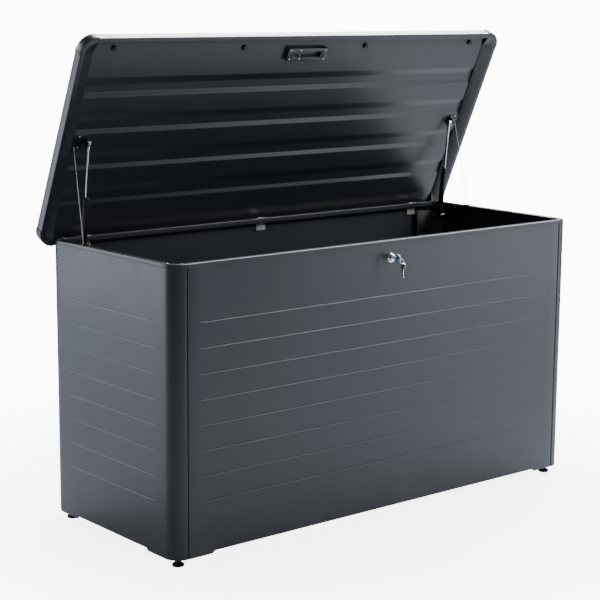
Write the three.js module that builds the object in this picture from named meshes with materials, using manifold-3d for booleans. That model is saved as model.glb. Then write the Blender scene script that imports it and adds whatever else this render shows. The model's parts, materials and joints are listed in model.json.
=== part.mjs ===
// A lockable steel storage box for a deck or garden, standing on four levelling feet, with its lid held
// open by two gas struts and two steel stay cables.
// Millimetres, +Z up, the front faces -Y. The origin is on the ground, in the middle of the area that the
// whole object covers with its lid open and its key in the lock.
import * as THREE from "three";
import { mergeVertices } from "three/addons/utils/BufferGeometryUtils.js";
import Module from "manifold-3d";

const wasm = await Module();
wasm.setup();

// Sheet metal and the clearances that neighbouring pieces keep
const sheet = 1.2;
const clearance = 0.4;

// Box body
const bodyLength = 1530;
const bodyDepth = 612;
const rimHeight = 830;
const skirtHeight = 26;
const cornerRadius = 45;
const seamGap = 2.5;
const hemDepth = 13;
const skirtStep = 127;
const skirtRise = 7;
const floorLevel = 33.4;
const floorLip = 18;

// Pressed grooves that run round the body
const grooveCount = 8;
const groovePitch = 70.4;
const grooveDrop = 159;
const grooveMargin = 88;
const grooveWidth = 3;
const grooveDepth = 0.6;

// Folded rim round the mouth of the box
const rimNose = 10;
const rimFlange = 20;
const rimLip = 15;
const rimLeg = 18;
const rimJoint = 0.8;

// Corner posts and levelling feet
const postThickness = 2;
const postLeg = 95;
const postDrop = 30;
const footPlate = 3;
const footInset = 38;
const footDiameter = 34;
const footPad = 9;
const footStem = 10;
const footStemTop = 46;

// Lid, described closed, and the angle that it stands open at. It overhangs the body on every side.
const lidSideOverhang = 35;
const lidFrontOverhang = 25;
const lidWall = 30;
const lidGap = 1;
const lidRearOverhang = 14;
const lidCorner = 50;
const capProud = 2;
const lidSideFlange = 50;
const lidSideLip = 14;
const lidFrontFlange = 16;
const lidRearFlange = 12;
const lidTopFlange = 16;
const lidPanelDepth = 17.5;
const openAngle = 66.1;

// Lengthwise beads pressed up out of the lid panel
const beadCount = 4;
const beadWidth = 50;
const beadSlope = 17;
const beadHeight = 9.5;
const beadFromRear = 147;
const beadFromFront = 160.5;
const beadEndMargin = 40;

// Hinges
const hingeFromEnd = 115;
const hingeInset = 9;
const hingeDrop = 4;
const hingeLength = 36;
const knuckleRadius = 4.5;
const pinRadius = 2;
const leafThickness = 2;
const leafDrop = 36;
const lidLeafReach = 19;

// Lock, key and the hook that catches the strike on the lid
const lockDrop = 50;
const rosetteRadius = 14.5;
const rosetteThickness = 3;
const collarRadius = 10;
const collarLength = 10;
const barrelRadius = 10.7;
const barrelDepth = 24;
const plugRadius = 6.3;
const hookPlane = 40;
const hookThickness = 3;
const hookNose = 3.2;
const keyBow = 11.5;
const keyBowOffset = 30;
const keyThickness = 2.2;
const bladeHeight = 7.5;
const bladeLength = 24;
const ringRadius = 9;
const ringWire = 0.8;
const ringTilt = 50;
const spareBow = 9.5;
const spareBlade = 29;

// Strike plate on the lid
const strikeHalf = 75;
const strikeFront = 44;
const strikeWidth = 39;
const strikeDepth = 3.8;
const strikeSheet = 1.5;
const slotWidth = 19;
const slotInset = 11;
const slotEnds = [[-46, -31], [-25, 52]];

// Gas struts and stay cables
const strutFromSide = 59;
const strutFootPlace = { fromRear: 87, belowRim: 40 };
const strutHeadPlace = { fromRear: 123, aboveRim: 278 };
const strutEye = 8;
const strutEyeWidth = 10;
const strutStud = 4;
const cylinderRadius = 9;
const cylinderLength = 165;
const rodRadius = 4;
const rodInserted = 22;
const boreDepth = 124;
const bracketSheet = 2.5;
const cableRadius = 1;
const cableFootPlace = { fromSide: 8, fromRear: 170, aboveRim: 3 };

// Black plugs that close the assembly holes of the lid panel
const plugOuter = { fromEnd: 115, fromFront: 38 };
const plugInner = { fromMiddle: 235, fromFront: 43 };
const plugHeadRadius = 8;
const plugHeadHeight = 7;

// Worked out from the sizes above
const halfLength = bodyLength / 2;
const halfDepth = bodyDepth / 2;
const panelTop = rimHeight - rimNose - clearance;
const seam = halfLength - cornerRadius;
const postInset = hemDepth + clearance;
const grooveTop = rimHeight - grooveDrop;
const postTop = rimHeight - postDrop;
const lidHalf = halfLength + lidSideOverhang;
const lidFloor = rimHeight + lidGap;
const lidRear = halfDepth + lidRearOverhang;
const lidFront = -halfDepth - lidFrontOverhang;
const beadPitch = (lidRear - lidFront - beadFromRear - beadFromFront) / (beadCount - 1);
const lidPanelZ = lidFloor + lidPanelDepth;
const hingeSpacing = halfLength - hingeFromEnd;
const hinge = { y: halfDepth - hingeInset, z: rimHeight - hingeDrop };
const lockZ = rimHeight - lockDrop;
const strutOffset = halfLength - strutFromSide;
const strutFoot = { y: halfDepth - strutFootPlace.fromRear, z: rimHeight - strutFootPlace.belowRim };
const strutHead = { y: halfDepth - strutHeadPlace.fromRear, z: rimHeight + strutHeadPlace.aboveRim };
const cableFoot = {
  x: halfLength - cableFootPlace.fromSide,
  y: halfDepth - cableFootPlace.fromRear,
  z: rimHeight + cableFootPlace.aboveRim,
};
const radians = THREE.MathUtils.degToRad;

// Solids

// A closed geometry as a solid, with doubled corners merged and empty triangles dropped.
function solidOf(geometry) {
  const bare = new THREE.BufferGeometry();
  bare.setAttribute("position", geometry.getAttribute("position"));
  bare.setIndex(geometry.index);
  const merged = mergeVertices(bare, 1e-4);
  const corners = merged.index.array;
  const kept = [];
  for (let i = 0; i < corners.length; i += 3) {
    const [a, b, c] = [corners[i], corners[i + 1], corners[i + 2]];
    if (a !== b && b !== c && c !== a) kept.push(a, b, c);
  }
  const vertProperties = merged.attributes.position.array;
  return new wasm.Manifold(new wasm.Mesh({ numProp: 3, vertProperties, triVerts: new Uint32Array(kept) }));
}

function geometryOf(solid) {
  const { vertProperties, triVerts } = solid.getMesh();
  const geometry = new THREE.BufferGeometry();
  geometry.setAttribute("position", new THREE.BufferAttribute(vertProperties, 3));
  geometry.setIndex(new THREE.BufferAttribute(triVerts, 1));
  return geometry;
}

function extruded(outline, length) {
  const shape = new THREE.Shape(outline.map(([u, v]) => new THREE.Vector2(u, v)));
  return new THREE.ExtrudeGeometry(shape, { depth: length, bevelEnabled: false });
}

// Prisms along X, Y and Z. Their outlines hold [y, z], [x, z] and [x, y].
function prismX(outline, from, to) {
  const turn = new THREE.Matrix4().set(0, 0, 1, from, 1, 0, 0, 0, 0, 1, 0, 0, 0, 0, 0, 1);
  return solidOf(extruded(outline, to - from).applyMatrix4(turn));
}

function prismY(outline, from, to) {
  return solidOf(extruded(outline, to - from).rotateX(Math.PI / 2).translate(0, to, 0));
}

function prismZ(outline, from, to) {
  return solidOf(extruded(outline, to - from).translate(0, 0, from));
}

function block(x0, x1, y0, y1, z0, z1) {
  const box = new THREE.BoxGeometry(x1 - x0, y1 - y0, z1 - z0);
  return solidOf(box.translate((x0 + x1) / 2, (y0 + y1) / 2, (z0 + z1) / 2));
}

// Round bars along X, Y and Z through a point.
function barX(radius, from, to, y, z, sides = 24) {
  const bar = new THREE.CylinderGeometry(radius, radius, to - from, sides).rotateZ(-Math.PI / 2);
  return solidOf(bar.translate((from + to) / 2, y, z));
}

function barY(radius, from, to, x, z, sides = 24) {
  return solidOf(new THREE.CylinderGeometry(radius, radius, to - from, sides).translate(x, (from + to) / 2, z));
}

function barZ(radius, from, to, x, y, sides = 24) {
  const bar = new THREE.CylinderGeometry(radius, radius, to - from, sides).rotateX(Math.PI / 2);
  return solidOf(bar.translate(x, y, (from + to) / 2));
}

// A turned piece about the Z axis through x, y. The profile holds [radius, height], anticlockwise.
function turned(profile, x, y, z, sides = 32) {
  const points = [...profile, profile[0]].map(([r, h]) => new THREE.Vector2(r, h));
  return solidOf(new THREE.LatheGeometry(points, sides).rotateX(Math.PI / 2).translate(x, y, z));
}

// Points of an arc in the plane, from one angle to another in degrees.
function arc(u, v, radius, from, to, steps) {
  return Array.from({ length: steps + 1 }, (_, i) => {
    const angle = radians(from + ((to - from) * i) / steps);
    return [u + radius * Math.cos(angle), v + radius * Math.sin(angle)];
  });
}

// A block whose top face is smaller than its foot, for a pressed bead.
function frustum(length, width, slope, height) {
  const shape = new THREE.BoxGeometry(length, width, height);
  const position = shape.getAttribute("position");
  for (let i = 0; i < position.count; i++) {
    if (position.getZ(i) < 0) continue;
    position.setX(i, position.getX(i) - Math.sign(position.getX(i)) * slope);
    position.setY(i, position.getY(i) - Math.sign(position.getY(i)) * slope);
  }
  return shape.translate(0, 0, height / 2);
}

// The same geometry on the other side of the YZ plane.
function mirroredX(solid) {
  const geometry = geometryOf(solid).clone();
  const position = geometry.getAttribute("position");
  for (let i = 0; i < position.count; i++) position.setX(i, -position.getX(i));
  const index = geometry.index.array;
  for (let i = 0; i < index.length; i += 3) [index[i], index[i + 1]] = [index[i + 1], index[i]];
  return solidOf(geometry);
}

// The same geometry on the other side of the XZ plane: two mirrors make a half turn about Z.
function mirroredY(solid) {
  return solidOf(geometryOf(mirroredX(solid)).clone().rotateZ(Math.PI));
}

// Finishes
const finishes = {
  coat: { color: 0x3c4147, roughness: 0.45, metalness: 0.1 },
  zinc: { color: 0xc9ccce, roughness: 0.35, metalness: 0.9 },
  chrome: { color: 0xd9dcdf, roughness: 0.15, metalness: 1 },
  steel: { color: 0x9a9da0, roughness: 0.4, metalness: 0.9 },
  black: { color: 0x151617, roughness: 0.6, metalness: 0 },
};

const deckBox = new THREE.Group();

function place(parent, name, solid, finish) {
  const mesh = new THREE.Mesh(geometryOf(solid), new THREE.MeshStandardMaterial(finishes[finish]));
  mesh.name = name;
  parent.add(mesh);
}

// Body panels

// A V-shaped line pressed into a face at one height, along X or Y.
function groove(prism, face, halfSpan, z) {
  const outside = face + Math.sign(face) * grooveDepth;
  const inside = face - Math.sign(face) * grooveDepth;
  const outline = [[outside, z - grooveWidth], [outside, z + grooveWidth], [inside, z]];
  return prism === prismX ? prismX(outline, -halfSpan, halfSpan) : prismY(outline, -halfSpan, halfSpan);
}

function withGrooves(panel, prism, face, halfSpan) {
  let pressed = panel;
  for (let i = 0; i < grooveCount; i++) {
    pressed = pressed.subtract(groove(prism, face, halfSpan, grooveTop - i * groovePitch));
  }
  return pressed;
}

// The lower edge stands higher between its two ends, so the box rests on its feet only.
function skirtCut(halfSpan) {
  const bottom = skirtHeight - 1;
  return [[-halfSpan - 1, bottom], [halfSpan + 1, bottom], [halfSpan - skirtRise, skirtHeight + skirtRise],
    [-halfSpan + skirtRise, skirtHeight + skirtRise]];
}

// The side sheet wraps round both corners and ends in a hem behind each seam.
function sidePanel() {
  const centreY = halfDepth - cornerRadius;
  const hemEnd = halfDepth - hemDepth;
  const inner = cornerRadius - sheet;
  const slip = THREE.MathUtils.radToDeg(Math.asin(sheet / inner));
  const outline = [
    [seam, -hemEnd],
    ...arc(seam, -centreY, cornerRadius, 270, 360, 10),
    ...arc(seam, centreY, cornerRadius, 0, 90, 10),
    [seam, hemEnd],
    [seam + sheet, hemEnd],
    ...arc(seam, centreY, inner, 90 - slip, 0, 10),
    ...arc(seam, -centreY, inner, 360, 270 + slip, 10),
    [seam + sheet, -hemEnd],
  ];
  const skirt = prismX(skirtCut(halfDepth - skirtStep), halfLength - 2 * sheet, halfLength + sheet);
  const wrapped = prismZ(outline, skirtHeight, panelTop).subtract(skirt);
  return withGrooves(wrapped, prismY, halfLength, halfDepth - grooveMargin);
}

function widePanel() {
  const end = seam - seamGap;
  const hemEnd = halfDepth - hemDepth;
  const inner = end - sheet;
  const outline = [
    [-end, -hemEnd], [-end, -halfDepth], [end, -halfDepth], [end, -hemEnd],
    [inner, -hemEnd], [inner, sheet - halfDepth], [-inner, sheet - halfDepth], [-inner, -hemEnd],
  ];
  const skirt = prismY(skirtCut(halfLength - skirtStep), -halfDepth - sheet, 2 * sheet - halfDepth);
  const folded = prismZ(outline, skirtHeight, panelTop).subtract(skirt);
  return withGrooves(folded, prismX, -halfDepth, halfLength - grooveMargin);
}

// The floor rests on the foot plates of the posts, and its corners are cut to clear them.
function floorPanel() {
  const margin = 2 * sheet + postThickness;
  const [x, y] = [halfLength - margin, halfDepth - margin];
  const inset = postInset + postThickness + clearance;
  const corner = [[x, cornerRadius + 2.5 - halfDepth], [halfLength - cornerRadius - 2, inset - halfDepth],
    [halfLength - postLeg - 2, inset - halfDepth], [halfLength - postLeg - 2, -y]];
  const outline = [
    ...[...corner].reverse(),
    ...corner.map(([u, v]) => [u, -v]),
    ...[...corner].reverse().map(([u, v]) => [-u, -v]),
    ...corner.map(([u, v]) => [-u, v]),
  ];
  const top = floorLevel + floorLip;
  const lipEnd = halfLength - postLeg - 3;
  const sideEnd = halfDepth - postLeg - 3;
  let tray = prismZ(outline, floorLevel, floorLevel + sheet);
  for (const side of [-1, 1]) {
    const [y0, y1] = [side * y, side * (y - sheet)].sort((a, b) => a - b);
    const [x0, x1] = [side * x, side * (x - sheet)].sort((a, b) => a - b);
    tray = tray.add(block(-lipEnd, lipEnd, y0, y1, floorLevel, top));
    tray = tray.add(block(x0, x1, -sideEnd, sideEnd, floorLevel, top));
  }
  for (const [sx, sy] of [[1, 1], [1, -1], [-1, 1], [-1, -1]]) {
    const [cx, cy] = [sx * (halfLength - footInset), sy * (halfDepth - footInset)];
    tray = tray.subtract(barZ(footStem / 2 + 1, floorLevel - 1, floorLevel + sheet + 1, cx, cy, 16));
  }
  return tray;
}

// Corner post of the front right corner: two legs, a slanted web between them and a plate for the foot.
function cornerPost() {
  const wall = sheet + clearance;
  const inner = wall + postThickness;
  const knee = cornerRadius + 1;
  const fromCorner = ([u, v]) => [halfLength - u, v - halfDepth];
  const profile = [
    [wall, postLeg], [wall, knee], [knee, postInset], [postLeg, postInset],
    [postLeg, postInset + postThickness], [knee + 0.6, postInset + postThickness],
    [inner, knee + 1], [inner, postLeg],
  ];
  const plate = [
    [inner - 1, postLeg - 15], [inner - 1, knee + 0.5], [knee + 0.3, postInset + 1], [postLeg - 15, postInset + 1],
    [postLeg - 15, 30], [30, postLeg - 15],
  ];
  const base = floorLevel - clearance - footPlate;
  const post = prismZ(profile.map(fromCorner), base, postTop);
  const foot = prismZ(plate.map(fromCorner), base, base + footPlate);
  const [cx, cy] = fromCorner([footInset, footInset]);
  return post.add(foot).subtract(barZ(footStem / 2 + clearance, base - 1, base + footPlate + 1, cx, cy, 16));
}

// Rim: a folded profile that closes the top edge of the panels. [inset, height above the rim]
const rimProfile = [
  [0, -rimNose], [0, -2], [0.6, -0.6], [2, 0], [rimFlange, 0], [rimFlange, -rimLip], [rimFlange - sheet, -rimLip],
  [rimFlange - sheet, -sheet], [2 * sheet + clearance, -sheet], [2 * sheet + clearance, -rimNose],
];
const rimTongue = [
  [sheet + clearance, -rimLeg], [2 * sheet + clearance, -rimLeg], [2 * sheet + clearance, 0.5 - rimNose],
  [sheet + clearance, 0.5 - rimNose],
];

function rimFront() {
  const at = ([inset, up]) => [inset - halfDepth, rimHeight + up];
  const end = seam - rimJoint;
  const tongueEnd = seam - seamGap - sheet - 4;
  return prismX(rimProfile.map(at), -end, end).add(prismX(rimTongue.map(at), -tongueEnd, tongueEnd));
}

function rimSide() {
  const at = ([inset, up]) => [halfLength - inset, rimHeight + up];
  const end = halfDepth - cornerRadius - rimJoint;
  return prismY(rimProfile.map(at), -end, end).add(prismY(rimTongue.map(at), 4 - end, end - 4));
}

function rimRear() {
  let rail = mirroredY(rimFront());
  const half = hingeLength / 2 + 2;
  for (const x of [-hingeSpacing, 0, hingeSpacing]) {
    const inner = hinge.y - knuckleRadius - 2.5;
    rail = rail.subtract(block(x - half, x + half, inner, halfDepth + 1, rimHeight - rimNose - 0.1, rimHeight + 1));
  }
  return rail;
}

function rimCorner() {
  const ring = turned(rimProfile.map(([inset, up]) => [cornerRadius - inset, up]),
    seam, cornerRadius - halfDepth, rimHeight, 48);
  const [x, y] = [seam, cornerRadius - halfDepth];
  return ring.intersect(block(x, x + 2 * cornerRadius, y - 2 * cornerRadius, y, 0, 2 * rimHeight));
}

place(deckBox, "front_panel", widePanel().subtract(
  barY(barrelRadius + clearance, -halfDepth - 5, 5 - halfDepth, 0, lockZ, 32)), "coat");
place(deckBox, "rear_panel", mirroredY(widePanel()), "coat");
place(deckBox, "floor_panel", floorPanel(), "coat");
place(deckBox, "rim_front", rimFront(), "coat");
place(deckBox, "rim_rear", rimRear(), "coat");

const sides = [["left", mirroredX], ["right", (solid) => solid]];
const ends = [["front", (solid) => solid], ["rear", mirroredY]];
for (const [side, toSide] of sides) {
  place(deckBox, `side_panel_${side}`, toSide(sidePanel()), "coat");
  place(deckBox, `rim_${side}`, toSide(rimSide()), "coat");
  for (const [end, toEnd] of ends) {
    place(deckBox, `rim_corner_${end}_${side}`, toEnd(toSide(rimCorner())), "coat");
    place(deckBox, `corner_post_${end}_${side}`, toEnd(toSide(cornerPost())), "coat");
  }
}

// Levelling feet: a pad, a neck and a threaded stem through the foot plate and the floor.
function foot() {
  const [r, neck, stem] = [footDiameter / 2, 9, footStem / 2];
  const profile = [
    [0, 0], [r - 1.5, 0], [r, 1.5], [r, footPad - 3], [r - 4, footPad],
    [neck, footPad], [neck, footPad + 7], [stem, footPad + 7],
    [stem, footStemTop - 1.5], [stem - 1.5, footStemTop], [0, footStemTop],
  ];
  return turned(profile, halfLength - footInset, footInset - halfDepth, 0, 24);
}

for (const [side, toSide] of sides) {
  for (const [end, toEnd] of ends) {
    place(deckBox, `foot_${end}_${side}`, toEnd(toSide(foot())), "black");
  }
}

// Hinges: the body leaf has two knuckles, the lid leaf one between them, and a pin runs through all three.
const knuckleSplit = hingeLength / 5;
const boreRadius = pinRadius + 0.3;

function bodyLeaf(x) {
  const half = hingeLength / 2;
  const y0 = halfDepth - 2 * sheet - clearance - 0.6 - leafThickness;
  let leaf = block(x - half, x + half, y0, y0 + leafThickness, hinge.z - leafDrop, hinge.z);
  for (const [from, to] of [[-half, -knuckleSplit], [knuckleSplit, half]]) {
    leaf = leaf.add(barX(knuckleRadius, x + from, x + to, hinge.y, hinge.z));
  }
  const middle = knuckleSplit;
  const gap = block(x - middle, x + middle, hinge.y - 8, y0 + leafThickness + 1, hinge.z - 6, hinge.z + 6);
  return leaf.subtract(gap).subtract(barX(boreRadius, x - half - 1, x + half + 1, hinge.y, hinge.z, 16));
}

function lidLeaf(x) {
  const [half, tongue] = [hingeLength / 2, knuckleSplit - 0.4];
  const plateZ = lidFloor + sheet + clearance;
  const plate = block(x - half, x + half, hinge.y, hinge.y + lidLeafReach, plateZ, plateZ + leafThickness);
  const web = block(x - tongue, x + tongue, hinge.y - 2, hinge.y + 2, hinge.z, plateZ + leafThickness);
  const knuckle = barX(knuckleRadius, x - tongue, x + tongue, hinge.y, hinge.z);
  return plate.add(web).add(knuckle).subtract(barX(boreRadius, x - half, x + half, hinge.y, hinge.z, 16));
}

// Lock: a turned housing in the front panel, a nut behind it, and the plug that carries the hook.
function lockHousing() {
  const [bore, face] = [plugRadius + 0.3, clearance];
  const profile = [
    [bore, -barrelDepth], [barrelRadius, -barrelDepth], [barrelRadius, face], [rosetteRadius, face],
    [rosetteRadius, face + rosetteThickness - 1], [rosetteRadius - 1, face + rosetteThickness],
    [collarRadius, face + rosetteThickness], [collarRadius, collarLength], [collarRadius - 1, collarLength + 1],
    [bore, collarLength + 1],
  ];
  const points = [...profile, profile[0]].map(([r, out]) => new THREE.Vector2(r, out));
  const ring = new THREE.LatheGeometry(points, 32).rotateX(Math.PI);
  return solidOf(ring.translate(0, -halfDepth, lockZ));
}

function lockNut() {
  const from = sheet + clearance - halfDepth;
  const hole = barY(barrelRadius + 0.3, from - 1, from + 7, 0, lockZ, 32);
  return barY(15, from, from + 6, 0, lockZ, 6).subtract(hole);
}

// The hook lies to the right while the lock is open. Its nose follows an arc about the plug.
const noseOuter = lidPanelZ - lockZ - 0.6;
const noseTip = 28;

function lockPlug() {
  const tail = hookPlane + hookThickness;
  const front = -halfDepth - collarLength - 0.5;
  const plug = barY(plugRadius, front, tail - halfDepth, 0, lockZ, 24);
  const keyway = block(-1.4, 1.4, front - 1, front + bladeLength + 2, lockZ - 4.2, lockZ + 4.2);
  const noseInner = noseOuter - hookNose;
  const nose = [...arc(0, lockZ, noseOuter, -5, noseTip, 8), ...arc(0, lockZ, noseInner, noseTip, -5, 8)];
  const arm = [[-9, lockZ - 9], [20, lockZ - 6], [noseOuter - 1.5, lockZ - 5], [noseOuter - 1.5, lockZ + 6],
    [20, lockZ + 8], [-9, lockZ + 9]];
  const [y0, y1] = [hookPlane - halfDepth, tail - halfDepth];
  return plug.subtract(keyway).add(prismY(nose, y0, y1)).add(prismY(arm, y0, y1));
}

// A key lies in the YZ plane: a round bow with a hole for the ring, a neck and a blade.
const keyHole = { y: -halfDepth - keyBowOffset - 8.4, z: lockZ };

function keyPiece() {
  const bowY = -halfDepth - keyBowOffset;
  const start = -halfDepth - collarLength - 0.5;
  const bow = barX(keyBow, -keyThickness / 2, keyThickness / 2, bowY, lockZ, 32);
  const neck = block(-keyThickness / 2, keyThickness / 2, bowY, start - 0.5, lockZ - 4.5, lockZ + 4.5);
  const bladeHalf = bladeHeight / 2;
  const blade = block(-0.9, 0.9, start - 1, start + bladeLength, lockZ - bladeHalf, lockZ + bladeHalf);
  const hole = barX(1.9, -keyThickness, keyThickness, keyHole.y, keyHole.z, 16);
  return bow.add(neck).add(blade).subtract(hole);
}

const tilt = radians(ringTilt);
const ringCentre = {
  y: keyHole.y - ringRadius * Math.sin(tilt),
  z: keyHole.z - ringRadius * Math.cos(tilt),
};
const ringLow = { y: ringCentre.y * 2 - keyHole.y, z: ringCentre.z * 2 - keyHole.z };

function keyRing() {
  const ring = new THREE.TorusGeometry(ringRadius, ringWire, 8, 28).rotateX(Math.PI / 2 - tilt);
  return solidOf(ring.translate(0, ringCentre.y, ringCentre.z));
}

function spareKey() {
  const bowZ = ringLow.z - spareBow + 2.4;
  const half = keyThickness / 2;
  const bow = barX(spareBow, -half, half, ringLow.y, bowZ, 28);
  const bladeTop = bowZ - spareBow + 1.5;
  const blade = block(-0.9, 0.9, ringLow.y - 3.2, ringLow.y + 3.2, bladeTop - spareBlade, bladeTop);
  return bow.add(blade).subtract(barX(1.6, -keyThickness, keyThickness, ringLow.y, ringLow.z, 16));
}

place(deckBox, "lock_housing", lockHousing(), "chrome");
place(deckBox, "lock_nut", lockNut(), "zinc");
place(deckBox, "lock_plug", lockPlug(), "chrome");
place(deckBox, "key", keyPiece(), "chrome");
place(deckBox, "key_ring", keyRing(), "chrome");
place(deckBox, "spare_key", spareKey(), "chrome");

// Lid. Everything on it is drawn closed and turned open about the hinge axis.
const lid = new THREE.Group();
lid.position.set(0, hinge.y, hinge.z);
lid.rotation.x = -radians(openAngle);
const lidClosed = new THREE.Group();
lidClosed.position.set(0, -hinge.y, -hinge.z);
lid.add(lidClosed);
deckBox.add(lid);

// Where a point of the closed lid stands when the lid is open, and the other way round.
function turnedAboutHinge({ y, z }, degrees) {
  const [c, s] = [Math.cos(radians(degrees)), Math.sin(radians(degrees))];
  const [dy, dz] = [y - hinge.y, z - hinge.z];
  return { y: hinge.y + dy * c - dz * s, z: hinge.z + dy * s + dz * c };
}

function lidPanel() {
  const margin = sheet + 0.8;
  const [x, y0, y1] = [lidHalf - lidCorner, lidFront + lidCorner, lidRear - lidCorner];
  const r = lidCorner - margin;
  const outline = [...arc(x, y0, r, -90, 0, 8), ...arc(x, y1, r, 0, 90, 8), ...arc(-x, y1, r, 90, 180, 8),
    ...arc(-x, y0, r, 180, 270, 8)];
  let panel = prismZ(outline, lidPanelZ, lidPanelZ + sheet);
  const length = 2 * (lidHalf - beadEndMargin);
  for (let i = 0; i < beadCount; i++) {
    const y = lidRear - beadFromRear - i * beadPitch;
    const outer = frustum(length, beadWidth, beadSlope, beadHeight).translate(0, y, lidPanelZ + sheet);
    const inner = frustum(length, beadWidth, beadSlope, beadHeight).translate(0, y, lidPanelZ - 0.01);
    panel = panel.add(solidOf(outer)).subtract(solidOf(inner));
  }
  return panel;
}

// The lid's edge: an outer wall, a lip under it and a folded top that grips the panel. At the sides and
// corners the lip goes on as a slope that rises inward to the underside of the panel.
function edgeProfile(flange, slopeEnd = flange) {
  const grip = lidPanelDepth + sheet + clearance;
  const wall = [
    [0, 0], [0, lidWall - 3], [0.9, lidWall - 0.9], [3, lidWall], [lidTopFlange, lidWall],
    [lidTopFlange, grip], [lidTopFlange - sheet, grip], [lidTopFlange - sheet, lidWall - sheet],
    [3, lidWall - sheet], [sheet, lidWall - 3], [sheet, sheet],
  ];
  if (slopeEnd === flange) return [...wall, [flange, sheet], [flange, 0]];
  const rise = lidPanelDepth - clearance;
  return [...wall, [flange - 0.3, sheet], [slopeEnd, rise], [slopeEnd, rise - 1.3], [flange, 0]];
}

function lidEdgeSide() {
  const at = ([inset, up]) => [lidHalf - inset, lidFloor + up];
  const ends = [lidFront + lidCorner + rimJoint, lidRear - lidCorner - rimJoint];
  return prismY(edgeProfile(lidSideLip, lidSideFlange).map(at), ...ends);
}

function lidEdge(flange, face) {
  const at = ([inset, up]) => [face - Math.sign(face) * inset, lidFloor + up];
  const end = lidHalf - lidCorner - rimJoint;
  return prismX(edgeProfile(flange).map(at), -end, end);
}

function lidCornerCap(y, towards) {
  const outer = lidCorner + capProud;
  const profile = edgeProfile(lidSideLip + capProud, outer).map(([inset, up]) => [outer - inset, up]);
  const [x, reach] = [lidHalf - lidCorner, 2 * lidCorner];
  const [y0, y1] = towards < 0 ? [y - reach, y] : [y, y + reach];
  return turned(profile, x, y, lidFloor, 48).intersect(block(x, x + reach, y0, y1, 0, 2 * rimHeight));
}

function strikePlate() {
  const y1 = lidFront + strikeFront + strikeWidth;
  const y0 = lidFront + strikeFront;
  const [z0, z1] = [lidFloor + strikeDepth, lidPanelZ - clearance];
  let strike = block(-strikeHalf, strikeHalf, y0, y1, z0, z0 + strikeSheet);
  for (const side of [-1, 1]) {
    const [x0, x1] = [side * strikeHalf, side * (strikeHalf - strikeSheet)].sort((a, b) => a - b);
    strike = strike.add(block(x0, x1, y0, y1, z0, z1));
  }
  const [slot0, slot1] = [y0 + slotInset, y0 + slotInset + slotWidth];
  for (const [from, to] of slotEnds) {
    strike = strike.subtract(block(from, to, slot0, slot1, z0 - 1, z0 + strikeSheet + 1));
  }
  return strike;
}

function lidPlug([x, fromFront]) {
  const [r, top] = [plugHeadRadius, lidPanelZ - clearance];
  const profile = [[0, -plugHeadHeight], [r - 2, -plugHeadHeight], [r, 2 - plugHeadHeight], [r, 0], [0, 0]];
  return turned(profile, x, lidFront + fromFront, top, 20);
}

// The bracket under the lid panel, whose ear stands beside the eye of the strut rod.
const earInner = strutOffset + strutEyeWidth / 2 + clearance;
const headClosed = turnedAboutHinge(strutHead, openAngle);
const bracketZ = lidPanelZ - clearance - bracketSheet;

function lidBracket() {
  const [y, z] = [headClosed.y, headClosed.z];
  const base = block(earInner, lidHalf - lidSideFlange - 0.6, y - 22, y + 22, bracketZ, bracketZ + bracketSheet);
  const ear = barX(strutEye + 2, earInner, earInner + bracketSheet, y, z, 24);
  return base.add(ear).add(block(earInner, earInner + bracketSheet, y - 14, y + 14, z - 4, bracketZ + 1));
}

place(lidClosed, "lid_panel", lidPanel(), "coat");
place(lidClosed, "lid_edge_front", lidEdge(lidFrontFlange, lidFront), "coat");
place(lidClosed, "lid_edge_rear", lidEdge(lidRearFlange, lidRear), "coat");
place(lidClosed, "strike_plate", strikePlate(), "coat");
for (const [side, toSide] of sides) {
  place(lidClosed, `lid_edge_${side}`, toSide(lidEdgeSide()), "coat");
  place(lidClosed, `lid_corner_front_${side}`, toSide(lidCornerCap(lidFront + lidCorner, -1)), "coat");
  place(lidClosed, `lid_corner_rear_${side}`, toSide(lidCornerCap(lidRear - lidCorner, 1)), "coat");
  place(lidClosed, `lid_bracket_${side}`, toSide(lidBracket()), "coat");
}
const plugPlaces = [
  [plugOuter.fromEnd - lidHalf, plugOuter.fromFront], [-plugInner.fromMiddle, plugInner.fromFront],
  [plugInner.fromMiddle, plugInner.fromFront], [lidHalf - plugOuter.fromEnd, plugOuter.fromFront],
];
plugPlaces.forEach((spot, i) => {
  place(lidClosed, `lid_plug_${i + 1}`, lidPlug(spot), "black");
});

for (const [name, x] of [["left", -hingeSpacing], ["centre", 0], ["right", hingeSpacing]]) {
  place(deckBox, `hinge_body_leaf_${name}`, bodyLeaf(x), "zinc");
  const pinHalf = hingeLength / 2 + 1;
  place(deckBox, `hinge_pin_${name}`, barX(pinRadius, x - pinHalf, x + pinHalf, hinge.y, hinge.z, 12), "steel");
  place(lidClosed, `hinge_lid_leaf_${name}`, lidLeaf(x), "zinc");
}

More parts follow.
